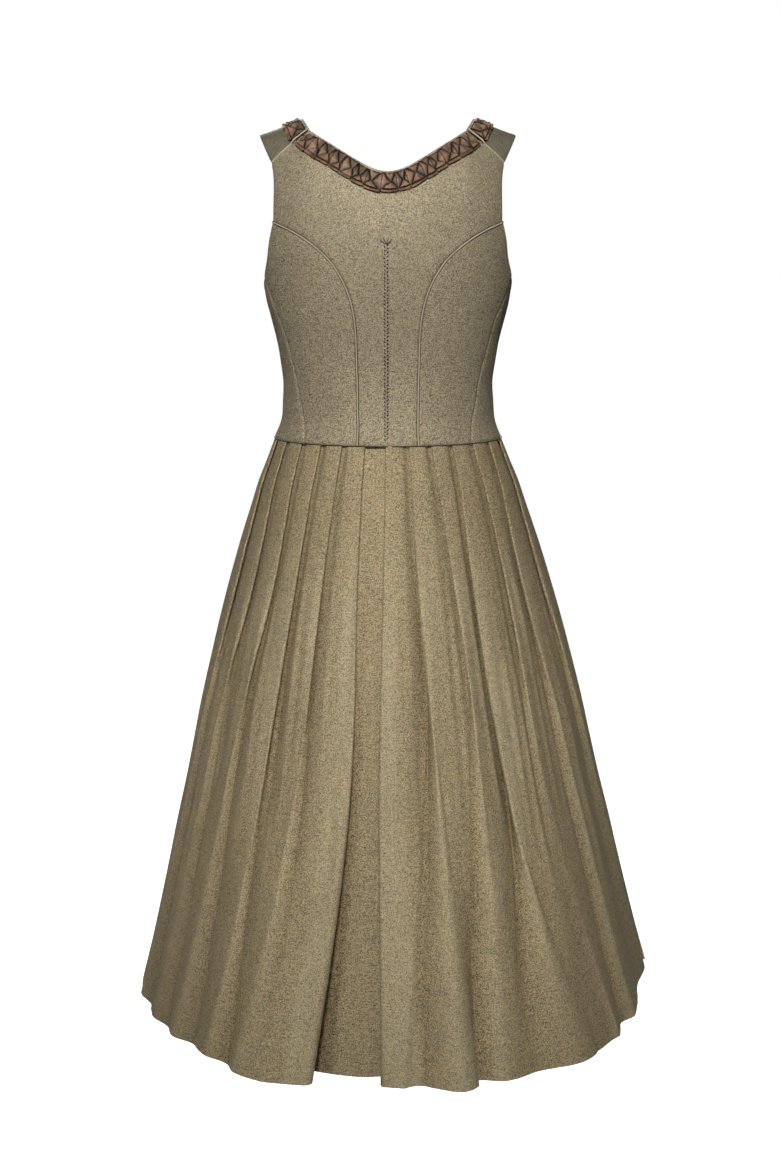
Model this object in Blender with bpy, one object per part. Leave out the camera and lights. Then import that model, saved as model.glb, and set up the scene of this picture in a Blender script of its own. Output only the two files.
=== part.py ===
"""A sleeveless dirndl in melange linen, filled out as it is worn, with nobody in it.

Metres, +Z up, the front towards -Y and the back towards +Y, the wearer's left at +X. The
origin lies between the shoulders, level with what carries the yokes. Heights in the tables
are measured up from the waist seam, angles round the body from the centre back, which is 0,
over the wearer's left side at 90 to the centre front at 180, and negative on the right.
"""

import math

import bmesh
import bpy
import numpy as np
from mathutils import Vector
from mathutils.bvhtree import BVHTree

# ---------------------------------------------------------------- driving sizes

CLOTH = 0.0012  # wall of the linen
SEAM_GAP = 0.0003  # between two pieces at their seam, and under what lies on a panel
SHOULDER_HEIGHT = 0.352  # of the origin above the waist seam
SKIRT_DROP = 0.680  # waist seam to hem, straight down
SKIRT_LEAN = 0.0125  # how far the skirt swings towards the right for each metre down

SHOULDER_SLOPE = 0.36  # fall of the shoulder line for each metre outwards
NECK_POINT_X = 0.099  # half width of the neck where it crosses the shoulder line
NECK_POINT_HEIGHT = 0.370
SHOULDER_POINT_X = 0.149  # outer end of the shoulder line

PLEAT_PITCH = 0.0272  # between two fold edges along the waist seam
WAIST_OVERLAP = 0.014  # how far each fold covers its own underlay at the waist
WAIST_LAYERS = 0.0048  # from the outer to the inner layer of a fold at the waist
FOLD_RADIUS = 0.00085  # of the cloth's middle at a pressed fold
SOFT_RADIUS = 0.0075  # of a fold that has fallen open, at the hem
BRINK = 0.0028  # before a pressed edge, where the cloth has dropped under it
OPEN_REACH = 0.30  # of the bend at each end of a fold that has fallen open, as a share of its run
OPEN_BEND = 0.214  # what that bend takes of the fold's rise, so that the slope between is straight
LEAST_RUN = 0.006  # of a fold from its underlay to its edge, once it has fallen open

PIPING_WIDTH = 0.0024
PIPING_HEIGHT = 0.0017
TRIM_WIDTH = 0.0215
TRIM_EDGE = 0.0022  # linen that shows between the trim and the neck edge
TRIM_PITCH = 0.0150  # one pinched box pleat
TRIM_BASE = 0.0012
SEAM_BLEND = 0.3  # share of the neck edge over which the trim turns from along the yoke seam
TRIM_RISE = 0.0030  # of its pinched lips above the base

BUTTON_COUNT = 7
BUTTON_RADIUS = 0.0072
BUTTON_THICKNESS = 0.0042
BUTTON_STAND = 0.009  # each front reaches this far past the centre front
FRONT_LAP = 0.0023  # the right front lies this far outside the left one at the buttons

# The worn shape. Columns: height above the waist seam, half width, depth of the back,
# depth of the front, squareness of the section (2 is an ellipse).
BODY = (
    (-0.010, 0.1400, 0.0985, 0.0985, 2.00),
    (0.000, 0.1365, 0.0965, 0.0965, 2.00),
    (0.020, 0.1285, 0.0915, 0.0930, 2.03),
    (0.045, 0.1257, 0.0880, 0.0915, 2.10),
    (0.068, 0.1248, 0.0870, 0.0940, 2.18),
    (0.092, 0.1281, 0.0880, 0.1000, 2.25),
    (0.116, 0.1320, 0.0910, 0.1090, 2.30),
    (0.140, 0.1376, 0.0950, 0.1200, 2.30),
    (0.163, 0.1432, 0.0985, 0.1300, 2.30),
    (0.186, 0.1468, 0.1015, 0.1345, 2.30),
    (0.210, 0.1490, 0.1040, 0.1320, 2.30),
    (0.235, 0.1500, 0.1045, 0.1235, 2.30),
    (0.260, 0.1500, 0.1030, 0.1130, 2.30),
    (0.285, 0.1500, 0.0980, 0.1020, 2.30),
    (0.310, 0.1500, 0.0860, 0.0870, 2.30),
    (0.335, 0.1500, 0.0660, 0.0660, 2.30),
    (0.357, 0.1500, 0.0360, 0.0360, 2.30),
    (0.372, 0.1500, 0.0000, 0.0000, 2.30),
)

# Seams and edges of the bodice. Columns: height above the waist seam, half width there.
BACK_PRINCESS = (
    (0.0000, 0.0355),
    (0.0450, 0.0350),
    (0.0850, 0.0356),
    (0.1150, 0.0362),
    (0.1360, 0.0374),
    (0.1560, 0.0402),
    (0.1760, 0.0458),
    (0.1950, 0.0550),
    (0.2120, 0.0670),
    (0.2320, 0.0905),
    (0.2440, 0.1105),
    (0.2535, 0.1315),
)
BACK_ARMHOLE = (
    (0.2535, 0.1315),
    (0.2700, 0.1312),
    (0.2860, 0.1312),
    (0.3030, 0.1318),
    (0.3200, 0.1338),
)
FRONT_PRINCESS = (
    (0.0000, 0.0520),
    (0.0500, 0.0530),
    (0.1000, 0.0600),
    (0.1450, 0.0700),
    (0.1800, 0.0790),
    (0.2100, 0.0900),
    (0.2350, 0.1060),
    (0.2550, 0.1260),
)
FRONT_ARMHOLE = (
    (0.2550, 0.1260),
    (0.2700, 0.1245),
    (0.2870, 0.1250),
    (0.3050, 0.1275),
    (0.3200, 0.1310),
)
# Columns: half width, height above the waist seam.
BACK_YOKE_SEAM = (
    (0.1338, 0.3200),
    (0.1200, 0.3330),
    (0.1045, 0.3455),
    (0.0905, 0.3560),
)
FRONT_YOKE_SEAM = (
    (0.1310, 0.3200),
    (0.1190, 0.3320),
    (0.1045, 0.3450),
    (0.0905, 0.3560),
)
BACK_NECK = (
    (0.0905, 0.3560),
    (0.0790, 0.3485),
    (0.0650, 0.3400),
    (0.0500, 0.3305),
    (0.0350, 0.3215),
    (0.0200, 0.3135),
    (0.0090, 0.3098),
    (0.0000, 0.3087),
)
FRONT_NECK = (
    (0.0905, 0.3560),
    (0.0870, 0.3370),
    (0.0830, 0.3150),
    (0.0760, 0.2900),
    (0.0630, 0.2650),
    (0.0440, 0.2470),
    (0.0220, 0.2380),
    (0.0000, 0.2350),
)
# The side back seam and the low part of the armhole. Columns: angle from the centre back
# in degrees, height above the waist seam.
SIDE_BACK_SEAM = (
    (46.0, 0.0000),
    (52.0, 0.0350),
    (56.0, 0.0700),
    (58.5, 0.1050),
    (61.0, 0.1400),
    (66.5, 0.1680),
    (75.0, 0.1905),
)
UNDERARM_BACK = (
    (61.5, 0.2330),
    (66.5, 0.2100),
    (75.0, 0.1905),
)
UNDERARM_FRONT = (
    (75.0, 0.1905),
    (84.0, 0.1835),
    (94.0, 0.1830),
    (104.0, 0.1910),
    (112.0, 0.2070),
    (118.0, 0.2300),
)

# The skirt without its folds. Columns: depth below the waist seam, half width, depth from
# front to back as a share of the width.
SKIRT = (
    (0.000, 0.1365, 0.710),
    (0.028, 0.1477, 0.735),
    (0.052, 0.1577, 0.755),
    (0.077, 0.1660, 0.780),
    (0.125, 0.1819, 0.815),
    (0.175, 0.1968, 0.845),
    (0.224, 0.2105, 0.875),
    (0.274, 0.2237, 0.905),
    (0.324, 0.2364, 0.925),
    (0.375, 0.2480, 0.945),
    (0.426, 0.2597, 0.960),
    (0.478, 0.2727, 0.975),
    (0.529, 0.2845, 0.985),
    (0.581, 0.2970, 1.000),
    (0.634, 0.3103, 1.010),
    (0.680, 0.3230, 1.020),
)

# The knife pleats, all facing the centre of their own half. Columns: the fold's place at
# the waist in pitches from the centre; its angle from the centre in degrees at a fifth, a
# half and the whole way down; in millimetres how far it covers its underlay at a quarter,
# a half and the whole way down, less than 0 where the fold has fallen open; its depth at a
# quarter and at a half; and how far its edge and its underlay stand out from the plain
# skirt at the hem.
PLEAT_COLUMNS = (
    "place", "turn_fifth", "turn_half", "turn_hem",
    "cover_quarter", "cover_half", "cover_hem",
    "depth_quarter", "depth_half", "edge_hem", "under_hem",
)
BACK_LEFT_PLEATS = (
    (1.00, 11.3, 10.6, 17.2, 13, 17, 20, 6, 12, 0, -36),
    (1.99, 23.9, 25.5, 32.5, 11, -6, -24, 6, 6, 9, 7),
    (2.98, 34.6, 36.5, 42.0, 13, 4, -26, 7, 8, 3, 0),
    (3.99, 44.8, 50.0, 54.5, 12, -6, -30, 7, 6, -1, -4),
    (5.00, 57.0, 62.0, 67.0, 10, -8, -34, 7, 6, -5, -9),
    (6.02, 71.5, 75.0, 79.0, 9, -10, -36, 6, 6, 1, -8),
)
BACK_RIGHT_PLEATS = (
    (-0.09, -2.0, -3.3, -2.9, 13, 15, 34, 5, 8, -1, -27),
    (0.92, 9.8, 12.0, 13.3, 11, -8, -50, 7, 8, 22, -1),
    (1.88, 22.8, 24.0, 21.5, 11, -8, -26, 5, 6, 10, 5),
    (2.87, 30.7, 31.4, 39.5, 13, 14, -66, 9, 15, 18, 5),
    (3.91, 45.4, 44.5, 50.5, 10, -10, -28, 6, 5, 11, 13),
    (4.94, 54.7, 58.0, 61.5, 9, -10, -24, 7, 7, 4, -3),
    (6.00, 71.0, 76.0, 86.5, 9, -10, -60, 7, 7, -4, -12),
)
FRONT_PLEATS = (
    (0.50, 5.6, 6.6, 8.0, 13, 16, 22, 5, 9, 0, -20),
    (1.45, 17.0, 18.5, 20.5, 11, -8, -30, 5, 6, 8, 0),
    (2.40, 28.0, 30.0, 33.0, 12, 8, -34, 6, 9, 5, -7),
    (3.35, 39.5, 42.0, 45.0, 11, -8, -30, 6, 6, 6, -2),
    (4.30, 51.0, 54.0, 57.0, 12, 4, -34, 7, 8, 2, -9),
    (5.25, 63.5, 66.5, 69.5, 9, -10, -32, 6, 6, 3, -6),
    (6.15, 76.5, 79.0, 82.0, 8, -12, -34, 6, 6, 0, -8),
)
# How far the hem hangs under its level. Columns: angle from the centre back in degrees, over
# the wearer's left side; the fall in metres.
HEM_FALL = (
    (-180.0, 0.0000),
    (-110.0, -0.0030),
    (-85.0, -0.0050),
    (-60.0, -0.0020),
    (-40.0, 0.0010),
    (0.0, 0.0015),
    (9.0, 0.0055),
    (26.0, 0.0090),
    (41.0, 0.0055),
    (53.0, 0.0090),
    (65.0, 0.0135),
    (85.0, 0.0120),
    (120.0, 0.0060),
    (180.0, 0.0000),
)
SKIRT_LEVELS = (0.0, 0.06, 0.15, 0.25, 0.33, 0.41, 0.50, 0.62, 0.75, 0.88, 1.0)

LINEN = (0.30, 0.25, 0.17)
SKIRT_LINEN = (0.28, 0.23, 0.15)
YOKE_LINEN = (0.19, 0.17, 0.12)
TRIM_BROWN = (0.12, 0.07, 0.045)
HORN = (0.10, 0.06, 0.04)


# ---------------------------------------------------------------- curves and surfaces

POINT_WEIGHTS = np.array([0.0022, 1.0])  # metres for a degree round the body, and for a metre up


def eased(share):
    """0 below 0, 1 above 1 and a soft step between."""
    share = min(max(share, 0.0), 1.0)
    return share * share * (3 - 2 * share)


def through(rows, at, column=1, key=0):
    """A smooth curve through one column of a table, read at a value of its key column."""
    keys = np.array([row[key] for row in rows], float)
    values = np.array([row[column] for row in rows], float)
    if keys[0] > keys[-1]:
        keys, values = keys[::-1], values[::-1]
    at = min(max(at, keys[0]), keys[-1])
    i = min(max(int(np.searchsorted(keys, at, "right")) - 1, 0), len(keys) - 2)
    steps = np.diff(values) / np.diff(keys)
    slopes = np.concatenate([steps[:1], (steps[:-1] + steps[1:]) / 2, steps[-1:]])
    width = keys[i + 1] - keys[i]
    s = (at - keys[i]) / width
    return (
        (2 * s**3 - 3 * s**2 + 1) * values[i]
        + (s**3 - 2 * s**2 + s) * width * slopes[i]
        + (3 * s**2 - 2 * s**3) * values[i + 1]
        + (s**3 - s**2) * width * slopes[i + 1]
    )


def along(points, share):
    """A smooth curve through a row of points, read at a share of its length."""
    points = np.array(points, float)
    lengths = np.linalg.norm(np.diff(points, axis=0) * POINT_WEIGHTS, axis=1)
    places = np.concatenate([[0.0], np.cumsum(lengths)])
    rows = np.column_stack([places, points])
    return np.array([through(rows, share * places[-1], c) for c in (1, 2)])


def superellipse(angle, squareness):
    """Sine and cosine of an angle, pushed out from a circle to a squarer section."""
    sine, cosine = math.sin(angle), math.cos(angle)
    reach = (abs(sine) ** squareness + abs(cosine) ** squareness) ** (-1 / squareness)
    return sine * reach, cosine * reach


def body(degrees, height):
    """A point on the middle of the bodice's cloth."""
    sine, cosine = superellipse(math.radians(degrees), through(BODY, height, 4))
    x = through(BODY, height, 1) * sine
    fall = SHOULDER_SLOPE * max(0.0, abs(x) - 0.090) * eased((height - 0.26) / 0.06)
    depth = through(BODY, height + fall, 2 if cosine > 0 else 3)
    return np.array([x, depth * cosine, height - SHOULDER_HEIGHT])


def turn(half_width, height, front=False):
    """The angle at which the body has this half width."""
    share = min(half_width / through(BODY, height, 1), 0.999)
    squareness = through(BODY, height, 4)
    rest = (1 - share**squareness) ** (1 / squareness)
    degrees = math.degrees(math.atan2(share, rest))
    return 180 - degrees if front else degrees


def body_normal(degrees, height):
    across = body(degrees + 0.5, height) - body(degrees - 0.5, height)
    up = body(degrees, height + 0.002) - body(degrees, height - 0.002)
    normal = np.cross(up, across)
    return normal / np.linalg.norm(normal)


def turned(table, front=False, swapped=False):
    """A table of half widths as (angle, height) pairs. swapped: its first column is the width."""
    pairs = [(h, w) if not swapped else (w, h) for h, w in table]
    return [(turn(w, h, front), h) for h, w in pairs]


def mirrored(rows):
    return [(-a, h) for a, h in rows]


# ---------------------------------------------------------------- meshes


def colour_of(name, colour, roughness):
    material = bpy.data.materials.new(name)
    material.use_nodes = True
    shader = material.node_tree.nodes["Principled BSDF"]
    shader.inputs["Base Color"].default_value = (*colour, 1.0)
    shader.inputs["Roughness"].default_value = roughness
    shader.inputs["Metallic"].default_value = 0.0
    return material


def add_object(name, points, faces, colour, roughness=0.85):
    mesh = bpy.data.meshes.new(name)
    mesh.from_pydata([tuple(map(float, p)) for p in points], [], faces)
    shape = bmesh.new()
    shape.from_mesh(mesh)
    bmesh.ops.recalc_face_normals(shape, faces=shape.faces)
    shape.to_mesh(mesh)
    shape.free()
    mesh.shade_smooth()
    mesh.set_sharp_from_angle(angle=math.radians(50))
    made = bpy.data.objects.new(name, mesh)
    bpy.context.scene.collection.objects.link(made)
    mesh.materials.append(colour_of(name, colour, roughness))
    return made


def wall_of(outer, inner):
    """Points and faces of a closed wall between two grids of points, rows by columns.

    Both sides of a cell are split along the same diagonal, the shorter one, so that the
    wall keeps its thickness where the cell is twisted."""
    rows, columns = outer.shape[:2]
    points = np.concatenate([outer.reshape(-1, 3), inner.reshape(-1, 3)])
    half = rows * columns
    faces = []
    for r in range(rows - 1):
        for c in range(columns - 1):
            a, b = r * columns + c, r * columns + c + 1
            d, e = a + columns, b + columns
            rising = np.linalg.norm(points[a] - points[e]) < np.linalg.norm(points[b] - points[d])
            cell = ((a, d, e), (a, e, b)) if rising else ((a, d, b), (b, d, e))
            faces += cell
            faces += [tuple(half + k for k in corners[::-1]) for corners in cell]
    border = [c for c in range(columns)]
    border += [r * columns + columns - 1 for r in range(1, rows)]
    border += [(rows - 1) * columns + c for c in range(columns - 2, -1, -1)]
    border += [r * columns for r in range(rows - 2, 0, -1)]
    for i, a in enumerate(border):
        b = border[(i + 1) % len(border)]
        faces.append((a, b, half + b, half + a))
    return points, faces


def pulled_in(grid, sides):
    """The grid with the named sides moved in by half a seam gap, along the cloth."""
    grid = grid.copy()
    views = {
        "first": (grid[:, 0], grid[:, 1]),
        "last": (grid[:, -1], grid[:, -2]),
        "bottom": (grid[0], grid[1]),
        "top": (grid[-1], grid[-2]),
    }
    for side in sides:
        edge, inside = views[side]
        tangent = np.gradient(edge, axis=0)
        tangent /= np.linalg.norm(tangent, axis=1)[:, None]
        inward = inside - edge
        inward -= (inward * tangent).sum(axis=1)[:, None] * tangent
        inward /= np.linalg.norm(inward, axis=1)[:, None]
        edge += inward * SEAM_GAP / 2
    return grid


def body_panel(name, bottom, top, first, last, across, up, seams, colour=LINEN, out=None):
    """A bodice piece between four border curves, as a patch in the plane of angle and height.

    across and up are the shares at which columns and rows lie. out gives, for an angle, how
    far the cloth's middle stands out from the body."""
    grid = np.zeros((len(up), len(across), 2))
    corners = [[bottom(0), bottom(1)], [top(0), top(1)]]
    for i, v in enumerate(up):
        for j, u in enumerate(across):
            ruled_u = (1 - u) * first(v) + u * last(v)
            ruled_v = (1 - v) * bottom(u) + v * top(u)
            both = (1 - v) * ((1 - u) * corners[0][0] + u * corners[0][1])
            both = both + v * ((1 - u) * corners[1][0] + u * corners[1][1])
            grid[i, j] = ruled_u + ruled_v - both
    middle = np.array([[body(*cell) for cell in row] for row in grid])
    normals = np.array([[body_normal(*cell) for cell in row] for row in grid])
    if out:
        middle = middle + normals * np.array([[[out(*cell)] for cell in row] for row in grid])
    middle = pulled_in(middle, seams)
    points, faces = wall_of(middle + normals * CLOTH / 2, middle - normals * CLOTH / 2)
    return add_object(name, points, faces, colour)


def shares(count):
    return [i / count for i in range(count + 1)]


def piecewise(parts, breaks):
    """One curve out of several, the n-th between two neighbouring breaks."""

    def read(share):
        n = min(max(int(np.searchsorted(breaks, share, "right")) - 1, 0), len(parts) - 1)
        return along(parts[n], (share - breaks[n]) / (breaks[n + 1] - breaks[n]))

    return read


def split_shares(breaks, counts):
    """Shares from the first break to the last, with so many steps between each pair."""
    found = [breaks[0]]
    for low, high, count in zip(breaks, breaks[1:], counts):
        found += [low + (high - low) * (i + 1) / count for i in range(count)]
    return found


# ---------------------------------------------------------------- bodice

SIDES = (("left", 1), ("right", -1))
SEAM_STEPS = 11  # both pieces of a seam have their points at the same places along it
YOKE_STEPS = 3


def sided(rows, side):
    return rows if side > 0 else mirrored(rows)


def waist_line(start, end):
    """The waist seam from one angle to another."""
    return lambda share: np.array([start + (end - start) * share, SEAM_GAP / 2])


def lifted(rows):
    """A seam whose lowest point lies on the waist seam's upper side."""
    return [(rows[0][0], SEAM_GAP / 2)] + list(rows[1:])


def back_centre():
    seam = lifted(turned(BACK_PRINCESS))
    armhole = turned(BACK_ARMHOLE)
    yoke = turned(BACK_YOKE_SEAM, swapped=True)
    neck = turned(BACK_NECK, swapped=True)
    side_breaks = (0.0, 0.70, 1.0)
    top_breaks = (0.0, 0.17, 0.5, 0.83, 1.0)
    first = piecewise([mirrored(seam), mirrored(armhole)], side_breaks)
    last = piecewise([seam, armhole], side_breaks)
    top = piecewise(
        [mirrored(yoke), mirrored(neck), neck[::-1], yoke[::-1]], top_breaks
    )
    body_panel(
        "back_centre",
        waist_line(-seam[0][0], seam[0][0]),
        top,
        first,
        last,
        split_shares(top_breaks, (YOKE_STEPS, 5, 5, YOKE_STEPS)),
        split_shares(side_breaks, (SEAM_STEPS, 3)),
        ("first", "last"),
    )


def back_side(name, side):
    inner = sided(lifted(turned(BACK_PRINCESS)), side)
    outer = sided(lifted(SIDE_BACK_SEAM), side)
    armhole = sided([turned(BACK_PRINCESS)[-1]] + list(UNDERARM_BACK), side)
    curves = [inner, outer, armhole]
    if side < 0:
        curves = [outer, inner, armhole[::-1]]
    first, last, top = curves
    body_panel(
        "back_side_" + name,
        waist_line(first[0][0], last[0][0]),
        piecewise([top], (0.0, 1.0)),
        piecewise([first], (0.0, 1.0)),
        piecewise([last], (0.0, 1.0)),
        shares(5),
        shares(SEAM_STEPS),
        ("first", "last"),
    )


def side_front(name, side):
    inner = sided(lifted(SIDE_BACK_SEAM), side)
    seam = turned(FRONT_PRINCESS, front=True)
    outer = sided(lifted(seam), side)
    armhole = sided(list(UNDERARM_FRONT) + [seam[-1]], side)
    curves = [inner, outer, armhole]
    if side < 0:
        curves = [outer, inner, armhole[::-1]]
    first, last, top = curves
    body_panel(
        "side_front_" + name,
        waist_line(first[0][0], last[0][0]),
        piecewise([top], (0.0, 1.0)),
        piecewise([first], (0.0, 1.0)),
        piecewise([last], (0.0, 1.0)),
        shares(8),
        shares(SEAM_STEPS),
        ("first", "last"),
    )


def front_lap(degrees, height):
    """The right front lies over the left one where they are buttoned."""
    x = body(degrees, height)[0]
    return FRONT_LAP * eased((x + 0.042) / 0.028)


def front(name, side):
    seam = lifted(turned(FRONT_PRINCESS, front=True))
    armhole = turned(FRONT_ARMHOLE, front=True)
    yoke = turned(FRONT_YOKE_SEAM, front=True, swapped=True)
    neck = turned(FRONT_NECK, front=True, swapped=True)
    stand = [(turn(BUTTON_STAND, h, front=True), h) for h in (SEAM_GAP / 2, 0.08, 0.16, FRONT_NECK[-1][1])]
    stand = [(360 - a, h) for a, h in stand]
    neck = [stand[-1]] + neck[-2::-1]
    side_breaks = (0.0, 0.72, 1.0)
    neck_break = 0.72 * (SEAM_STEPS - 2) / SEAM_STEPS
    seam, armhole, yoke, neck, stand = (sided(r, side) for r in (seam, armhole, yoke, neck, stand))
    seam_edge = piecewise([seam, armhole], side_breaks)
    centre_edge = piecewise([stand, neck], (0.0, neck_break, 1.0))
    top, bottom = piecewise([yoke], (0.0, 1.0)), waist_line(seam[0][0], stand[0][0])
    if side < 0:
        top, bottom = piecewise([yoke[::-1]], (0.0, 1.0)), waist_line(stand[0][0], seam[0][0])
    body_panel(
        "front_" + name,
        bottom,
        top,
        seam_edge if side > 0 else centre_edge,
        centre_edge if side > 0 else seam_edge,
        shares(3 * YOKE_STEPS),
        split_shares(side_breaks, (SEAM_STEPS, 5)),
        ("first",) if side > 0 else ("last",),
        out=front_lap if side < 0 else None,
    )


# ---------------------------------------------------------------- shoulder yokes

YOKE_START = 28.0  # where on its arch the yoke starts, in degrees, at either seam


def yoke_point(across, share, side=1):
    """A point of the yoke: across it from the neck to the armhole, and over it from the back
    seam (0) to the front seam (1)."""
    is_back = share < 0.5
    table = BACK_YOKE_SEAM if is_back else FRONT_YOKE_SEAM
    seam = body(*along(turned(table, front=not is_back, swapped=True), 1 - across))
    ridge_x = NECK_POINT_X + (SHOULDER_POINT_X - NECK_POINT_X) * across
    ridge_z = NECK_POINT_HEIGHT - SHOULDER_SLOPE * (ridge_x - NECK_POINT_X) - SHOULDER_HEIGHT
    half = 2 * share if is_back else 2 * (1 - share)
    arch = math.radians(YOKE_START + (90 - YOKE_START) * half)
    start = math.radians(YOKE_START)
    y = seam[1] * math.cos(arch) / math.cos(start)
    rise = (1 - math.sin(arch)) / (1 - math.sin(start))
    z = ridge_z - (ridge_z - seam[2]) * rise
    x = ridge_x + (seam[0] - ridge_x) * rise
    return np.array([side * x, y, z])


def yoke_normal(across, share, side=1):
    a, b = max(across - 0.02, 0.0), min(across + 0.02, 1.0)
    c, d = max(share - 0.02, 0.0), min(share + 0.02, 1.0)
    over = yoke_point(across, d, side) - yoke_point(across, c, side)
    out = yoke_point(b, share, side) - yoke_point(a, share, side)
    normal = np.cross(out, over) * -side
    normal /= np.linalg.norm(normal)
    return normal if normal[2] > 0 else -normal


def yoke(name, side):
    overs = [0.0, 0.12, 0.27, 0.42, 0.5, 0.58, 0.73, 0.88, 1.0]
    grid = np.array([[yoke_point(u, v, side) for u in shares(YOKE_STEPS)] for v in overs])
    normals = np.array([[yoke_normal(u, v, side) for u in shares(YOKE_STEPS)] for v in overs])
    if side < 0:
        grid, normals = grid[:, ::-1], normals[:, ::-1]
    grid = pulled_in(pulled_in(grid, ("bottom", "top")), ("bottom", "top"))
    points, faces = wall_of(grid + normals * CLOTH / 2, grid - normals * CLOTH / 2)
    add_object("yoke_" + name, points, faces, YOKE_LINEN)


# ---------------------------------------------------------------- piping and cords


def strip(name, spine, normals, section, colour, closed_up=False):
    """A closed strip along a spine on the cloth. section holds (sideways, outwards) pairs,
    clockwise as seen looking along the spine."""
    spine = np.array(spine)
    tangent = np.gradient(spine, axis=0)
    tangent /= np.linalg.norm(tangent, axis=1)[:, None]
    sideways = np.cross(tangent, normals)
    sideways /= np.linalg.norm(sideways, axis=1)[:, None]
    corners = len(section)
    points = [
        spine[i] + sideways[i] * across + normals[i] * out
        for i in range(len(spine))
        for across, out in section
    ]
    faces = []
    for i in range(len(spine) - 1):
        for j in range(corners):
            a, b = i * corners + j, i * corners + (j + 1) % corners
            faces.append((a, b, b + corners, a + corners))
    faces.append(tuple(range(corners))[::-1])
    faces.append(tuple((len(spine) - 1) * corners + j for j in range(corners)))
    return add_object(name, points, faces, colour)


def cord_section(base):
    """A flat-bottomed half round that starts this far above the cloth's middle."""
    half, high = PIPING_WIDTH / 2, PIPING_HEIGHT
    outline = ((-half, 0.0), (half, 0.0), (0.75 * half, 0.75 * high), (0.0, high), (-0.75 * half, 0.75 * high))
    return [(across, out + base) for across, out in outline]


CORD_BASE = CLOTH / 2 + SEAM_GAP


def piping(name, side, front=False):
    table = FRONT_PRINCESS if front else BACK_PRINCESS
    rows = sided(lifted(turned(table, front=front)), side)
    reads = [along(rows, share) for share in shares(SEAM_STEPS)]
    spine = [body(*read) for read in reads]
    normals = [body_normal(*read) for read in reads]
    strip(name, spine, np.array(normals), cord_section(CORD_BASE), LINEN)


def yoke_cord(name, side, front=False):
    """The fine cord along the yoke's seam, from the armhole to the neck edge."""
    table = FRONT_YOKE_SEAM if front else BACK_YOKE_SEAM
    spine, normals = [], []
    for share in split_shares((0.03, 0.97), (2 * YOKE_STEPS,)):
        degrees, height = along(turned(table, front=front, swapped=True), share)
        normal = body_normal(degrees * side, height)
        normal = normal + yoke_normal(1 - share, 1.0 if front else 0.0, side)
        spine.append(body(degrees * side, height))
        normals.append(normal / np.linalg.norm(normal))
    strip(name, spine, np.array(normals), cord_section(CORD_BASE + SEAM_GAP), LINEN)


# ---------------------------------------------------------------- ruched trim


def neck_frame(stretch, share, side):
    """The neck edge and the way across the trim, on the back, the yoke or the front."""
    if stretch == "yoke":
        edge = [yoke_point(0.0, share, side), yoke_normal(0.0, share, side)]
        width = np.linalg.norm(yoke_point(1.0, share, side) - yoke_point(0.0, share, side))

        def across(distance):
            u = distance / width
            return yoke_point(u, share, side), yoke_normal(u, share, side)

        return edge[0], across
    front_part = stretch == "front"
    flat = np.array(FRONT_NECK if front_part else BACK_NECK)
    lengths = np.concatenate([[0], np.cumsum(np.linalg.norm(np.diff(flat, axis=0), axis=1))])
    rows = np.column_stack([lengths, flat])
    at = share * lengths[-1]
    here = np.array([through(rows, at, 1), through(rows, at, 2)])
    low, high = max(at - 0.004, 0.0), min(at + 0.004, lengths[-1])
    tangent = np.array([through(rows, high, c) - through(rows, low, c) for c in (1, 2)])
    if share > 0.999:
        tangent = np.array([-1.0, 0.0])
    tangent /= np.linalg.norm(tangent)
    away = np.array([-tangent[1], tangent[0]])
    seam = np.array(FRONT_YOKE_SEAM if front_part else BACK_YOKE_SEAM)
    seam_way = (seam[0] - seam[-1]) / np.linalg.norm(seam[0] - seam[-1])
    away = seam_way + (away - seam_way) * eased(share / SEAM_BLEND)
    away /= np.linalg.norm(away)

    def across(distance):
        width, height = here + away * distance
        degrees = turn(abs(width), height, front=front_part)
        degrees = degrees if width >= 0 else (360 - degrees if front_part else -degrees)
        point, normal = body(degrees * side, height), body_normal(degrees * side, height)
        if front_part and side < 0:
            point = point + normal * front_lap(degrees * side, height)
        return point, normal

    return across(0.0)[0], across


def trim_length(stretches):
    """Places along a run of stretches, each (name, side, from share, to share)."""
    places = []
    for stretch, side, start, end in stretches:
        for share in np.linspace(start, end, 25):
            edge, across = neck_frame(stretch, share, side)
            middle = across(TRIM_EDGE + TRIM_WIDTH / 2)[0]
            places.append((middle, stretch, side, share))
    middles = np.array([p[0] for p in places])
    lengths = np.concatenate([[0], np.cumsum(np.linalg.norm(np.diff(middles, axis=0), axis=1))])
    return lengths, places


TRIM_ACROSS = (0.0, 0.28, 0.5, 0.72, 1.0)
# How far the trim's outside rises over its base, as a share of TRIM_RISE. Columns: across
# the band from the neck side; rows: at the pleat's fold, at its opened lips, and between.
TRIM_HEIGHTS = (
    (0.10, 0.75, 0.35, 0.75, 0.10),
    (0.95, 0.35, 1.00, 0.35, 0.95),
)


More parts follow.
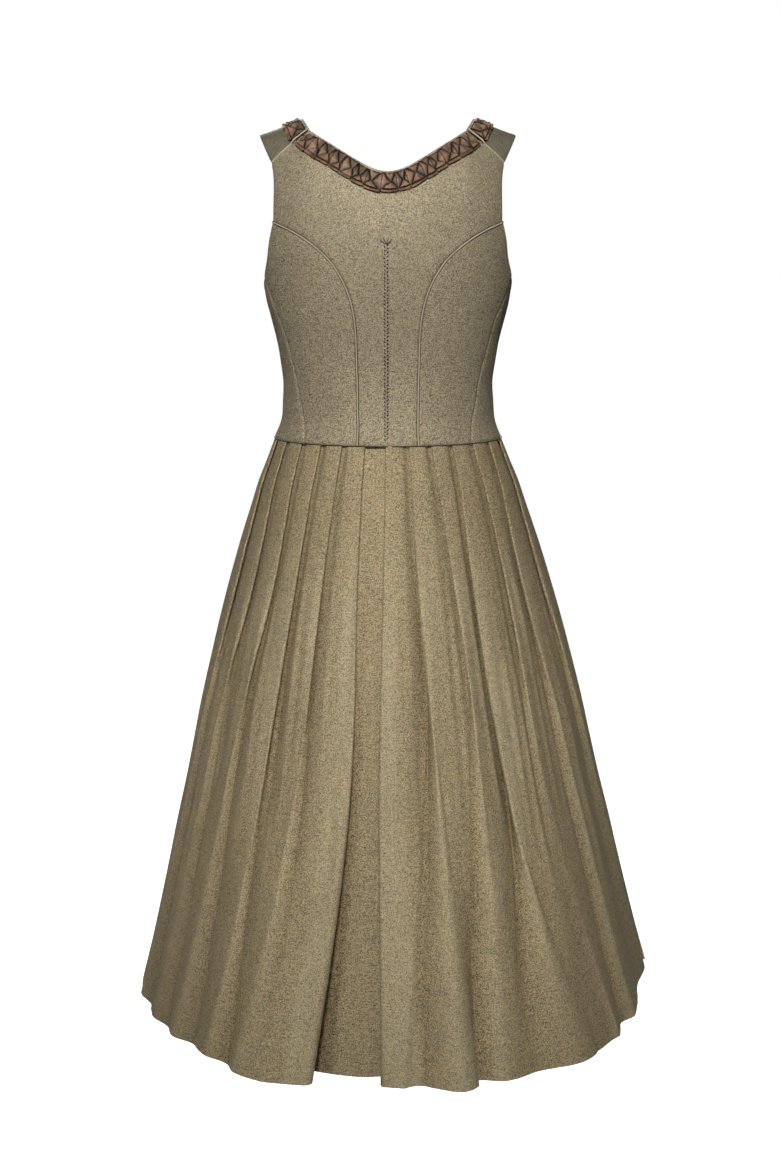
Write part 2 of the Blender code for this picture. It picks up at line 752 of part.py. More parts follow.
def trim(name, stretches):
    """A band of pinched box pleats that follows the neck edge."""
    lengths, places = trim_length(stretches)
    pleats = max(2, round(lengths[-1] / TRIM_PITCH))
    steps = pleats * len(TRIM_HEIGHTS)
    outer, inner = [], []
    for i in range(steps + 1):
        at = lengths[-1] * (0.004 + 0.992 * i / steps)
        k = min(int(np.searchsorted(lengths, at, "right")) - 1, len(places) - 2)
        low, high = places[k], places[k + 1]
        span = max(lengths[k + 1] - lengths[k], 1e-9)
        if low[1] != high[1] or low[2] != high[2]:
            low = high
        share = low[3] + (high[3] - low[3]) * min(max((at - lengths[k]) / span, 0), 1)
        _, across = neck_frame(low[1], share, low[2])
        heights = TRIM_HEIGHTS[i % len(TRIM_HEIGHTS)]
        row_out, row_in = [], []
        for u, high_share in zip(TRIM_ACROSS, heights):
            point, normal = across(TRIM_EDGE + u * TRIM_WIDTH)
            base = CLOTH / 2 + SEAM_GAP
            row_in.append(point + normal * base)
            row_out.append(point + normal * (base + TRIM_BASE + TRIM_RISE * high_share))
        outer.append(row_out)
        inner.append(row_in)
    points, faces = wall_of(np.array(outer), np.array(inner))
    made = add_object(name, points, faces, TRIM_BROWN)
    return made


# ---------------------------------------------------------------- skirt


def skirt_base(degrees, level):
    """The plain skirt at an angle and a level from 0 at the waist to 1 at the hem, with the
    way out of it and the length of one radian there."""
    down = level * SKIRT_DROP
    width = through(SKIRT, down, 1)
    depth = width * through(SKIRT, down, 2)
    angle = math.radians(degrees)
    sine, cosine = math.sin(angle), math.cos(angle)
    fall = through(HEM_FALL, (degrees + 180) % 360 - 180) * level**2
    height = -down - fall - SHOULDER_HEIGHT - SEAM_GAP / 2
    point = np.array([width * sine - SKIRT_LEAN * down, depth * cosine, height])
    along_ring = np.array([width * cosine, -depth * sine, 0.0])
    length = np.linalg.norm(along_ring)
    out = np.array([-along_ring[1], along_ring[0], 0.0]) / length
    return point, out, length


def waist_angle(distance):
    """The angle from the centre at which the waist seam is this long."""
    steps = np.radians(np.linspace(0, 100, 401))
    width, depth = SKIRT[0][1], SKIRT[0][1] * SKIRT[0][2]
    x, y = width * np.sin(steps), depth * np.cos(steps)
    lengths = np.concatenate([[0], np.cumsum(np.hypot(np.diff(x), np.diff(y)))])
    return math.copysign(math.degrees(np.interp(abs(distance), lengths, steps)), distance)


def pleat_at(row, level):
    """Angle of a pleat's edge, its cover, and how far edge and underlay stand out, in metres."""
    pleat = dict(zip(PLEAT_COLUMNS, row))
    start = waist_angle(pleat["place"] * PLEAT_PITCH)
    turns = ((0.0, start), (0.2, pleat["turn_fifth"]), (0.5, pleat["turn_half"]), (1.0, pleat["turn_hem"]))
    mm = 0.001
    covers = (
        (0.0, WAIST_OVERLAP),
        (0.25, pleat["cover_quarter"] * mm),
        (0.5, pleat["cover_half"] * mm),
        (1.0, pleat["cover_hem"] * mm),
    )
    edges = ((0.0, 0.0), (0.25, 0.0), (0.5, 0.0), (1.0, pleat["edge_hem"] * mm))
    unders = (
        (0.0, -WAIST_LAYERS),
        (0.25, -pleat["depth_quarter"] * mm),
        (0.5, -pleat["depth_half"] * mm),
        (1.0, pleat["under_hem"] * mm),
    )
    return [through(rows, level) for rows in (turns, covers, edges, unders)]


def folded_share(cover):
    """1 for a fold that lies flat on its underlay, 0 for one that has fallen open."""
    return eased((cover + 0.020) / 0.030)


def mixed(first, second, share):
    return tuple(a + (b - a) * share for a, b in zip(first, second))


def pleat_points(row, level, arc_steps=2):
    """Angle and outward place of the points round one pleat, from its underlay to its edge:
    two tight bends where it is folded and a soft step where it has fallen open."""
    degrees, cover, edge, under = pleat_at(row, level)
    length = skirt_base(degrees, level)[2]
    folded = folded_share(cover)
    rise = edge - under
    radius = FOLD_RADIUS + (SOFT_RADIUS - FOLD_RADIUS) * level**1.5
    radius = min(radius, max(rise / (2.7 + 1.9 * folded), FOLD_RADIUS))
    spread = 45 + 45 * folded
    run = max(-cover, LEAST_RUN)
    found = []
    for place, out, axis, way in (
        (cover, under, -90 + 90 * folded, 1),
        (0.0, edge, 90 + 90 * folded, -1),
    ):
        for i in range(arc_steps + 1):
            share = 2 * i / arc_steps - 1
            swing = math.radians(axis + way * spread * share)
            bend = (place + radius * (math.cos(swing) - way * folded), out + radius * (math.sin(swing) + way))
            step = (min(place, 0.0) + OPEN_REACH * run * share, out + way * OPEN_BEND * rise * share**2)
            along_ring, stands = mixed(step, bend, folded)
            found.append((degrees + math.degrees(along_ring / length), stands))
    return found


def between_pleats(here, following, row, level):
    """Two points between one pleat's edge and the underlay of the next pleat. Where that one
    is folded the cloth stays high and drops just before its edge."""
    degrees, cover, _, _ = pleat_at(row, level)
    brink = degrees - math.degrees(BRINK / skirt_base(degrees, level)[2])
    folded = folded_share(cover)
    high = (mixed(here, (degrees, 0), 0.62)[0], mixed(here, following, 0.12)[1])
    low = (brink, mixed(here, following, 0.88)[1])
    return [
        mixed(mixed(here, following, 0.33), high, folded),
        mixed(mixed(here, following, 0.67), low, folded),
    ]


def skirt_row(pleats, start, end, level):
    """Angle and outward place of every column of one side of the skirt, from the centre out."""
    columns = list(start)
    for n, row in enumerate(pleats):
        columns += pleat_points(row, level)
        if n < len(pleats) - 1:
            following = pleat_points(pleats[n + 1], level)[0]
            columns += between_pleats(columns[-1], following, pleats[n + 1], level)
        else:
            columns.append(mixed(columns[-1], end[0], 0.5))
    return columns + list(end)


def under_pleat(row, level, degrees):
    """Where the cloth lies that runs on below a pleat, at an angle given in degrees."""
    return degrees, pleat_at(row, level)[3]


def gap_degrees(degrees, level):
    return math.degrees(SEAM_GAP / 2 / skirt_base(degrees, level)[2])


def skirt_wall(name, side_rows):
    """A skirt piece from its rows of (angle, outward place), one row for each level."""
    middle, normals = [], []
    for level, row in zip(SKIRT_LEVELS, side_rows):
        bases = [skirt_base(degrees, level) for degrees, _ in row]
        points = np.array([base + way * out for (base, way, _), (_, out) in zip(bases, row)])
        steps = np.diff(points[:, :2], axis=0)
        ways = np.column_stack([-steps[:, 1], steps[:, 0]])
        ways /= np.linalg.norm(ways, axis=1)[:, None]
        mitres = ways[:-1] + ways[1:]
        mitres /= np.linalg.norm(mitres, axis=1)[:, None]
        lean = np.einsum("ij,ij->i", mitres, ways[1:])
        mitres = mitres / np.clip(lean, 0.6, 1.0)[:, None]
        facing = 1 if ways[0] @ bases[0][1][:2] > 0 else -1
        ends = [facing * bases[i][1][:2] for i in (0, -1)]
        mitres = np.vstack([ends[:1], mitres, ends[1:]])
        middle.append(points)
        normals.append(np.column_stack([mitres, np.zeros(len(mitres))]))
    middle, normals = np.array(middle)[::-1], np.array(normals)[::-1]
    points, faces = wall_of(middle + normals * CLOTH / 2, middle - normals * CLOTH / 2)
    add_object(name, points, faces, SKIRT_LINEN)


def centre_cut(level):
    """Angle of the centre back seam, on the right side, hidden under the first pleat there."""
    degrees, cover, _, _ = pleat_at(BACK_RIGHT_PLEATS[0], level)
    return degrees + 0.45 * math.degrees(cover / skirt_base(degrees, level)[2])


def side_cut(level):
    """The side seam, half way round, as (angle, outward place)."""
    return (90 - gap_degrees(90, level), -0.001)


def back_skirt_left():
    rows = []
    for level in SKIRT_LEVELS:
        cut = -centre_cut(level) + gap_degrees(0, level)
        start = [under_pleat(BACK_RIGHT_PLEATS[0], level, cut)]
        start.append((6.0, start[0][1]))
        rows.append(skirt_row(BACK_LEFT_PLEATS, start, [side_cut(level)], level))
    skirt_wall("skirt_back_left", rows)


def back_skirt_right():
    rows = []
    for level in SKIRT_LEVELS:
        cut = centre_cut(level) + gap_degrees(0, level)
        start = [under_pleat(BACK_RIGHT_PLEATS[0], level, cut)]
        row = skirt_row(BACK_RIGHT_PLEATS, start, [side_cut(level)], level)
        rows.append([(-a, o) for a, o in row])
    skirt_wall("skirt_back_right", rows)


def front_skirt():
    rows = []
    for level in SKIRT_LEVELS:
        middle = (0.0, pleat_at(FRONT_PLEATS[0], level)[3] + 0.0005)
        half = skirt_row(FRONT_PLEATS, [], [side_cut(level)], level)
        row = [(180 + a, o) for a, o in half][::-1] + [(180.0, middle[1])] + [(180 - a, o) for a, o in half]
        rows.append(row)
    skirt_wall("skirt_front", rows)


# ---------------------------------------------------------------- buttons


def seat(tree, place, normal, reach):
    """How far out along the normal a flat foot of this reach comes to rest on a surface."""
    sideways = np.array([1.0, 0.0, 0.0])
    upwards = np.cross(normal, sideways)
    above = 0.02
    outs = []
    for a, b in ((0, 0), (1, 0), (-1, 0), (0, 1), (0, -1)):
        start = place + (sideways * a + upwards * b) * reach + normal * above
        outs.append(above - tree.ray_cast(Vector(start), Vector(-normal))[3])
    return max(outs)


def buttons():
    sides = 8
    panel = bpy.data.objects["front_right"].data
    tree = BVHTree.FromPolygons(
        [v.co for v in panel.vertices], [tuple(face.vertices) for face in panel.polygons]
    )
    low, high = 0.018, FRONT_NECK[-1][1] - TRIM_EDGE - TRIM_WIDTH - BUTTON_RADIUS - 0.003
    profile = ((0.84, 0.0), (1.0, 0.45), (0.72, 1.0))
    for n in range(BUTTON_COUNT):
        height = low + (high - low) * n / (BUTTON_COUNT - 1)
        centre, normal = body(180, height), body_normal(180, height)
        centre = centre + normal * (seat(tree, centre, normal, BUTTON_RADIUS * profile[0][0]) + SEAM_GAP)
        sideways = np.array([1.0, 0.0, 0.0])
        upwards = np.cross(normal, sideways)
        points, faces = [], []
        for radius, out in profile:
            for k in range(sides):
                angle = 2 * math.pi * k / sides
                spoke = sideways * math.cos(angle) + upwards * math.sin(angle)
                points.append(centre + spoke * BUTTON_RADIUS * radius + normal * BUTTON_THICKNESS * out)
        for ring in range(len(profile) - 1):
            for k in range(sides):
                a, b = ring * sides + k, ring * sides + (k + 1) % sides
                faces.append((a, b, b + sides, a + sides))
        faces.append(tuple(range(sides))[::-1])
        faces.append(tuple((len(profile) - 1) * sides + k for k in range(sides)))
        add_object(f"button_{n + 1}", points, faces, HORN, 0.45)


# ---------------------------------------------------------------- the whole dress


def main():
    for old in list(bpy.data.objects):
        bpy.data.objects.remove(old)
    back_centre()
    for name, side in SIDES:
        back_side(name, side)
        side_front(name, side)
        front(name, side)
        yoke(name, side)
        piping("piping_back_" + name, side)
        piping("piping_front_" + name, side, front=True)
        yoke_cord("yoke_cord_back_" + name, side)
        yoke_cord("yoke_cord_front_" + name, side, front=True)
        yoke_part = ("yoke", side, 0.03, 0.97)
        trim("trim_yoke_" + name, [yoke_part])
        trim("trim_front_" + name, [("front", side, 0.03, 0.90 if side > 0 else 0.985)])
    trim("trim_back", [("back", 1, 0.03, 1.0), ("back", -1, 1.0, 0.03)])
    back_skirt_left()
    back_skirt_right()
    front_skirt()
    buttons()


main()
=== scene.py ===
"""The looks of a sleeveless linen dirndl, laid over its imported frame.

Metres, in the frame's own axes: +Z up, the photographed back towards +Y, the wearer's left
at +X. Heights in the tables are measured up from the waist seam, angles round the body from
the centre back, over the wearer's left side at 90 to the centre front at 180.
"""

import math

import bpy
import numpy as np
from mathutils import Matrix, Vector


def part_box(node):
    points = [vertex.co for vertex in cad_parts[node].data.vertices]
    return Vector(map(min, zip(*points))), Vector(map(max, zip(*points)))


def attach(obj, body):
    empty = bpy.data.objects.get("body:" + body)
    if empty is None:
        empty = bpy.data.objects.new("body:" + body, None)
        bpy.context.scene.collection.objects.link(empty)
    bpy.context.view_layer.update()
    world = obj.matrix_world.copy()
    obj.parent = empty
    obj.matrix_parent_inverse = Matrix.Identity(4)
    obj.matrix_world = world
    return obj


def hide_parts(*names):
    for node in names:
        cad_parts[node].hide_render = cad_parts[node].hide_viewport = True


bl_info = {
    "name": "Linen Dirndl",
    "version": (1, 0, 0),
    "blender": (4, 5, 0),
    "location": "3D View > Sidebar > Dirndl",
    "description": "Dresses the frame of a dirndl in linen, ruched silk and thread",
    "category": "Object",
}

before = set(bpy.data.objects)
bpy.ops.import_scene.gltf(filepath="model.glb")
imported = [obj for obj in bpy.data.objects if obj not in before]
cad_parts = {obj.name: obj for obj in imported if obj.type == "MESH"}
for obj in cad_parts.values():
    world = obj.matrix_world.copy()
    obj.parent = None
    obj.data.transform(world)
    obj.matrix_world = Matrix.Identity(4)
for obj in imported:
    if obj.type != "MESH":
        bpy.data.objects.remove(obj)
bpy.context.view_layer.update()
SEED = 7

# ---------------------------------------------------------------- the cut of the dress

SEAM_GAP = 0.0003  # between two pieces that meet in a seam
SHOULDER_HEIGHT = 0.352  # of the frame's origin over the waist seam
SKIRT_DROP = 0.680
SKIRT_LEAN = 0.0125  # towards the wearer's right, for each metre down
SHOULDER_SLOPE = 0.36  # fall of the shoulder for each metre outwards
SHOULDER_START = 0.090  # half width at which that fall begins on the bodice
NECK_POINT_X = 0.099
NECK_POINT_HEIGHT = 0.370
SHOULDER_POINT_X = 0.149
YOKE_START = 28.0  # degrees of the yoke's arch at its seams
PLEAT_PITCH = 0.0272
WAIST_OVERLAP = 0.014  # of each knife pleat, in the waist seam
WAIST_LAYERS = 0.0048  # depth of a pleat's underlay there
FOLD_RADIUS = 0.00085  # of a pressed fold
SOFT_RADIUS = 0.0075  # of the same fold at the hem
BRINK = 0.0028  # the cloth starts to drop this far from the next fold's edge
OPEN_REACH = 0.30  # an open fold's two bends reach over this share of its run
OPEN_BEND = 0.214  # and take this share of its rise
LEAST_RUN = 0.006
FRONT_LAP = 0.0023  # how far the right front stands out over the left one
LAP_START = -0.042
LAP_RUN = 0.028
BUTTON_STAND = 0.009  # half width
TRIM_WIDTH = 0.0215
TRIM_EDGE = 0.0022  # from the neck edge to the trim
SEAM_BLEND = 0.3  # share of the neck edge over which the trim turns from the yoke's seam
BUTTON_COUNT = 7
SHARP = 62  # degrees between two faces whose edge is drawn sharp
TRIM_SHARP = 38
# How the cloth rolls at its seams and edges. Each: how deep and how far, in metres.
SEAM_ROLL = (0.0011, 0.0016)
YOKE_SEAM_ROLL = (0.0010, 0.0016)
WAIST_ROLL = (0.0009, 0.0014)
EDGE_ROLL = (0.0006, 0.0008)
TURNED_RISE = 0.0003  # of an edge that is turned under
TURNED_STEP = 0.002
RIPPLE_HEIGHT = 0.00035
RIPPLE_SIZE = 0.06
RIPPLE_WAVES = 9

# The worn shape. Columns: height above the waist seam, half width, depth of the back,
# depth of the front, squareness of the section (2 is an ellipse).
BODY = (
    (-0.010, 0.1400, 0.0985, 0.0985, 2.00),
    (0.000, 0.1365, 0.0965, 0.0965, 2.00),
    (0.020, 0.1285, 0.0915, 0.0930, 2.03),
    (0.045, 0.1257, 0.0880, 0.0915, 2.10),
    (0.068, 0.1248, 0.0870, 0.0940, 2.18),
    (0.092, 0.1281, 0.0880, 0.1000, 2.25),
    (0.116, 0.1320, 0.0910, 0.1090, 2.30),
    (0.140, 0.1376, 0.0950, 0.1200, 2.30),
    (0.163, 0.1432, 0.0985, 0.1300, 2.30),
    (0.186, 0.1468, 0.1015, 0.1345, 2.30),
    (0.210, 0.1490, 0.1040, 0.1320, 2.30),
    (0.235, 0.1500, 0.1045, 0.1235, 2.30),
    (0.260, 0.1500, 0.1030, 0.1130, 2.30),
    (0.285, 0.1500, 0.0980, 0.1020, 2.30),
    (0.310, 0.1500, 0.0860, 0.0870, 2.30),
    (0.335, 0.1500, 0.0660, 0.0660, 2.30),
    (0.357, 0.1500, 0.0360, 0.0360, 2.30),
    (0.372, 0.1500, 0.0000, 0.0000, 2.30),
)

# Seams and edges of the bodice. Columns: height above the waist seam, half width there.
BACK_PRINCESS = (
    (0.0000, 0.0355),
    (0.0450, 0.0350),
    (0.0850, 0.0356),
    (0.1150, 0.0362),
    (0.1360, 0.0374),
    (0.1560, 0.0402),
    (0.1760, 0.0458),
    (0.1950, 0.0550),
    (0.2120, 0.0670),
    (0.2320, 0.0905),
    (0.2440, 0.1105),
    (0.2535, 0.1315),
)
BACK_ARMHOLE = (
    (0.2535, 0.1315),
    (0.2700, 0.1312),
    (0.2860, 0.1312),
    (0.3030, 0.1318),
    (0.3200, 0.1338),
)
FRONT_PRINCESS = (
    (0.0000, 0.0520),
    (0.0500, 0.0530),
    (0.1000, 0.0600),
    (0.1450, 0.0700),
    (0.1800, 0.0790),
    (0.2100, 0.0900),
    (0.2350, 0.1060),
    (0.2550, 0.1260),
)
FRONT_ARMHOLE = (
    (0.2550, 0.1260),
    (0.2700, 0.1245),
    (0.2870, 0.1250),
    (0.3050, 0.1275),
    (0.3200, 0.1310),
)
# Columns: half width, height above the waist seam.
BACK_YOKE_SEAM = (
    (0.1338, 0.3200),
    (0.1200, 0.3330),
    (0.1045, 0.3455),
    (0.0905, 0.3560),
)
FRONT_YOKE_SEAM = (
    (0.1310, 0.3200),
    (0.1190, 0.3320),
    (0.1045, 0.3450),
    (0.0905, 0.3560),
)
BACK_NECK = (
    (0.0905, 0.3560),
    (0.0790, 0.3485),
    (0.0650, 0.3400),
    (0.0500, 0.3305),
    (0.0350, 0.3215),
    (0.0200, 0.3135),
    (0.0090, 0.3098),
    (0.0000, 0.3087),
)
FRONT_NECK = (
    (0.0905, 0.3560),
    (0.0870, 0.3370),
    (0.0830, 0.3150),
    (0.0760, 0.2900),
    (0.0630, 0.2650),
    (0.0440, 0.2470),
    (0.0220, 0.2380),
    (0.0000, 0.2350),
)
# The side back seam and the low part of the armhole. Columns: angle from the centre back
# in degrees, height above the waist seam.
SIDE_BACK_SEAM = (
    (46.0, 0.0000),
    (52.0, 0.0350),
    (56.0, 0.0700),
    (58.5, 0.1050),
    (61.0, 0.1400),
    (66.5, 0.1680),
    (75.0, 0.1905),
)
UNDERARM_BACK = (
    (61.5, 0.2330),
    (66.5, 0.2100),
    (75.0, 0.1905),
)
UNDERARM_FRONT = (
    (75.0, 0.1905),
    (84.0, 0.1835),
    (94.0, 0.1830),
    (104.0, 0.1910),
    (112.0, 0.2070),
    (118.0, 0.2300),
)

# The skirt without its folds. Columns: depth below the waist seam, half width, depth from
# front to back as a share of the width.
SKIRT = (
    (0.000, 0.1365, 0.710),
    (0.028, 0.1477, 0.735),
    (0.052, 0.1577, 0.755),
    (0.077, 0.1660, 0.780),
    (0.125, 0.1819, 0.815),
    (0.175, 0.1968, 0.845),
    (0.224, 0.2105, 0.875),
    (0.274, 0.2237, 0.905),
    (0.324, 0.2364, 0.925),
    (0.375, 0.2480, 0.945),
    (0.426, 0.2597, 0.960),
    (0.478, 0.2727, 0.975),
    (0.529, 0.2845, 0.985),
    (0.581, 0.2970, 1.000),
    (0.634, 0.3103, 1.010),
    (0.680, 0.3230, 1.020),
)

# The knife pleats, all facing the centre of their own half. Columns: the fold's place at
# the waist in pitches from the centre; its angle from the centre in degrees at a fifth, a
# half and the whole way down; in millimetres how far it covers its underlay at a quarter,
# a half and the whole way down, less than 0 where the fold has fallen open; its depth at a
# quarter and at a half; and how far its edge and its underlay stand out from the plain
# skirt at the hem.
PLEAT_COLUMNS = (
    "place", "turn_fifth", "turn_half", "turn_hem",
    "cover_quarter", "cover_half", "cover_hem",
    "depth_quarter", "depth_half", "edge_hem", "under_hem",
)
BACK_LEFT_PLEATS = (
    (1.00, 11.3, 10.6, 17.2, 13, 17, 20, 6, 12, 0, -36),
    (1.99, 23.9, 25.5, 32.5, 11, -6, -24, 6, 6, 9, 7),
    (2.98, 34.6, 36.5, 42.0, 13, 4, -26, 7, 8, 3, 0),
    (3.99, 44.8, 50.0, 54.5, 12, -6, -30, 7, 6, -1, -4),
    (5.00, 57.0, 62.0, 67.0, 10, -8, -34, 7, 6, -5, -9),
    (6.02, 71.5, 75.0, 79.0, 9, -10, -36, 6, 6, 1, -8),
)
BACK_RIGHT_PLEATS = (
    (-0.09, -2.0, -3.3, -2.9, 13, 15, 34, 5, 8, -1, -27),
    (0.92, 9.8, 12.0, 13.3, 11, -8, -50, 7, 8, 22, -1),
    (1.88, 22.8, 24.0, 21.5, 11, -8, -26, 5, 6, 10, 5),
    (2.87, 30.7, 31.4, 39.5, 13, 14, -66, 9, 15, 18, 5),
    (3.91, 45.4, 44.5, 50.5, 10, -10, -28, 6, 5, 11, 13),
    (4.94, 54.7, 58.0, 61.5, 9, -10, -24, 7, 7, 4, -3),
    (6.00, 71.0, 76.0, 86.5, 9, -10, -60, 7, 7, -4, -12),
)
FRONT_PLEATS = (
    (0.50, 5.6, 6.6, 8.0, 13, 16, 22, 5, 9, 0, -20),
    (1.45, 17.0, 18.5, 20.5, 11, -8, -30, 5, 6, 8, 0),
    (2.40, 28.0, 30.0, 33.0, 12, 8, -34, 6, 9, 5, -7),
    (3.35, 39.5, 42.0, 45.0, 11, -8, -30, 6, 6, 6, -2),
    (4.30, 51.0, 54.0, 57.0, 12, 4, -34, 7, 8, 2, -9),
    (5.25, 63.5, 66.5, 69.5, 9, -10, -32, 6, 6, 3, -6),
    (6.15, 76.5, 79.0, 82.0, 8, -12, -34, 6, 6, 0, -8),
)
# How far the hem hangs under its level. Columns: angle from the centre back in degrees, over
# the wearer's left side; the fall in metres.
HEM_FALL = (
    (-180.0, 0.0000),
    (-110.0, -0.0030),
    (-85.0, -0.0050),
    (-60.0, -0.0020),
    (-40.0, 0.0010),
    (0.0, 0.0015),
    (9.0, 0.0055),
    (26.0, 0.0090),
    (41.0, 0.0055),
    (53.0, 0.0090),
    (65.0, 0.0135),
    (85.0, 0.0120),
    (120.0, 0.0060),
    (180.0, 0.0000),
)

# Folds that the skirt takes between and across its pleats. Columns: angle at the waist, a
# quarter, half, three quarters and the whole way down; the level where the fold starts and
# where it ends; its height in millimetres, less than 0 for a trough; its half width in
# millimetres.
BACK_FOLDS = (
    (-21.6, -22.5, -23.5, -24.5, -25.5, 0.20, 0.82, 3.6, 13),
    (-10.6, -10.2, -8.5, -7.5, -7.0, 0.25, 0.72, -2.8, 9),
    (-40.0, -39.5, -40.5, -41.5, -42.0, 0.28, 0.90, 3.6, 16),
    (-50.0, -51.0, -52.5, -53.0, -53.0, 0.30, 0.64, -3.4, 9),
    (-60.0, -61.0, -63.0, -65.0, -66.0, 0.30, 0.80, 3.0, 11),
    (-18.0, -18.0, -18.5, -17.5, -16.8, 0.66, 1.20, -5.0, 14),
    (-9.0, -9.0, -9.0, -9.0, -8.5, 0.62, 1.20, 2.6, 14),
    (-28.0, -28.0, -27.0, -26.0, -25.0, 0.62, 1.20, 3.2, 22),
    (-46.0, -46.0, -46.0, -47.0, -48.0, 0.66, 1.20, -2.6, 20),
    (23.0, 21.0, 20.5, 20.5, 21.0, 0.22, 0.78, 3.6, 15),
    (13.5, 12.8, 12.4, 15.0, 18.5, 0.30, 0.98, 1.8, 6),
    (35.0, 35.0, 33.8, 33.5, 34.0, 0.33, 0.66, -4.0, 9),
    (44.0, 42.5, 43.0, 44.0, 45.0, 0.30, 0.74, 3.4, 12),
    (50.0, 52.0, 56.5, 58.5, 59.0, 0.36, 0.66, -3.4, 9),
    (64.0, 64.5, 66.5, 68.0, 68.5, 0.30, 0.80, 2.8, 12),
    (29.0, 29.0, 28.5, 28.5, 29.0, 0.55, 1.20, 3.0, 26),
    (46.0, 46.0, 47.0, 48.0, 49.0, 0.58, 1.20, -3.4, 22),
    (70.0, 70.0, 69.0, 68.0, 67.0, 0.66, 1.20, 2.4, 20),
)
FRONT_FOLDS = (
    (168.0, 168.5, 169.5, 170.5, 171.5, 0.22, 0.85, 3.4, 14),
    (157.0, 156.0, 155.5, 155.0, 154.5, 0.30, 0.68, -3.0, 10),
    (145.0, 144.0, 143.5, 143.0, 142.5, 0.34, 1.20, 3.2, 18),
    (131.0, 130.0, 129.0, 128.0, 127.5, 0.30, 0.70, -3.4, 10),
    (118.0, 117.0, 116.5, 116.0, 115.5, 0.40, 1.20, 3.0, 20),
    (104.0, 103.0, 102.5, 102.0, 101.5, 0.34, 0.75, -3.0, 10),
    (191.0, 191.5, 192.0, 192.5, 193.0, 0.26, 0.74, 3.2, 13),
    (203.0, 203.5, 204.0, 205.0, 205.5, 0.34, 0.66, -3.6, 9),
    (216.0, 217.0, 217.5, 218.0, 218.5, 0.30, 0.90, 3.4, 16),
    (229.0, 230.0, 230.5, 231.0, 231.5, 0.42, 1.20, -3.2, 20),
    (243.0, 244.0, 245.0, 245.5, 246.0, 0.30, 0.78, 3.0, 12),
    (256.0, 257.0, 257.5, 258.0, 258.5, 0.36, 0.68, -3.2, 9),
)

# ---------------------------------------------------------------- curves and surfaces

POINT_WEIGHTS = np.array([0.0022, 1.0])


def eased(share):
    """0 below 0, 1 above 1 and a soft step between."""
    share = np.clip(share, 0.0, 1.0)
    return share * share * (3 - 2 * share)


def hermite(s, p, m, q, n):
    """A smooth curve at shares s of the way from p to q, with these slopes at its ends."""
    return (
        (2 * s**3 - 3 * s**2 + 1) * p + (s**3 - 2 * s**2 + s) * m
        + (3 * s**2 - 2 * s**3) * q + (s**3 - s**2) * n
    )


def through(rows, at, column=1):
    """A smooth curve through one column of a table, read at values of its first column."""
    keys = np.array([row[0] for row in rows], float)
    values = np.array([row[column] for row in rows], float)
    if keys[0] > keys[-1]:
        keys, values = keys[::-1], values[::-1]
    at = np.clip(at, keys[0], keys[-1])
    i = np.clip(np.searchsorted(keys, at, "right") - 1, 0, len(keys) - 2)
    steps = np.diff(values) / np.diff(keys)
    slopes = np.concatenate([steps[:1], (steps[:-1] + steps[1:]) / 2, steps[-1:]])
    width = keys[i + 1] - keys[i]
    s = (at - keys[i]) / width
    return hermite(s, values[i], width * slopes[i], values[i + 1], width * slopes[i + 1])


def lengths_along(points):
    """Distance of each point of a row from its first one."""
    steps = np.linalg.norm(np.diff(points, axis=0), axis=-1)
    return np.concatenate([np.zeros((1, *steps.shape[1:])), np.cumsum(steps, axis=0)])


def along(points, share):
    """A smooth curve through a row of points, read at shares of its length."""
    points = np.array(points, float)
    places = lengths_along(points * POINT_WEIGHTS)
    rows = np.column_stack([places, points])
    return np.stack([through(rows, np.asarray(share) * places[-1], c) for c in (1, 2)], -1)


def body(degrees, height):
    """Points on the middle of the bodice's cloth."""
    degrees, height = np.broadcast_arrays(np.asarray(degrees, float), np.asarray(height, float))
    squareness = through(BODY, height, 4)
    sine, cosine = np.sin(np.radians(degrees)), np.cos(np.radians(degrees))
    reach = (np.abs(sine) ** squareness + np.abs(cosine) ** squareness) ** (-1 / squareness)
    x = through(BODY, height, 1) * sine * reach
    fall = SHOULDER_SLOPE * np.maximum(0.0, np.abs(x) - SHOULDER_START) * eased((height - 0.26) / 0.06)
    depth = np.where(cosine > 0, through(BODY, height + fall, 2), through(BODY, height + fall, 3))
    return np.stack([x, depth * cosine * reach, height - SHOULDER_HEIGHT], -1)


def turn(half_width, height, front):
    """The angles at which the body has these half widths."""
    share = np.minimum(half_width / through(BODY, height, 1), 0.999)
    squareness = through(BODY, height, 4)
    degrees = np.degrees(np.arctan2(share, (1 - share**squareness) ** (1 / squareness)))
    return 180 - degrees if front else degrees


def angle_of(x, height, front):
    """The angles of places this far across the body, on either side of its centre."""
    degrees = turn(np.abs(x), height, front)
    return np.where(x >= 0, degrees, (360 - degrees) if front else -degrees)


def lap(x):
    """How far the right front stands out at places across the body."""
    return FRONT_LAP * eased((x - LAP_START) / LAP_RUN)


def unit(vectors):
    return vectors / np.maximum(np.linalg.norm(vectors, axis=-1, keepdims=True), 1e-12)


def sideways_of(points, normals):
    """Directions across a row of points, on the cloth."""
    return unit(np.cross(unit(np.gradient(points, axis=0)), normals))


def body_normal(degrees, height):
    across = body(degrees + 0.5, height) - body(degrees - 0.5, height)
    up = body(degrees, height + 0.002) - body(degrees, height - 0.002)
    return unit(np.cross(up, across))


def turned(table, front=False, swapped=False):
    """A table of half widths as (angle, height) pairs. swapped: its first column is the width."""
    pairs = [(h, w) if not swapped else (w, h) for h, w in table]
    return [(float(turn(w, h, front)), h) for h, w in pairs]


def mirrored(rows):
    return [(-a, h) for a, h in rows]


def sided(rows, side):
    return list(rows) if side > 0 else mirrored(rows)


def shares(count):
    return np.linspace(0, 1, count + 1)


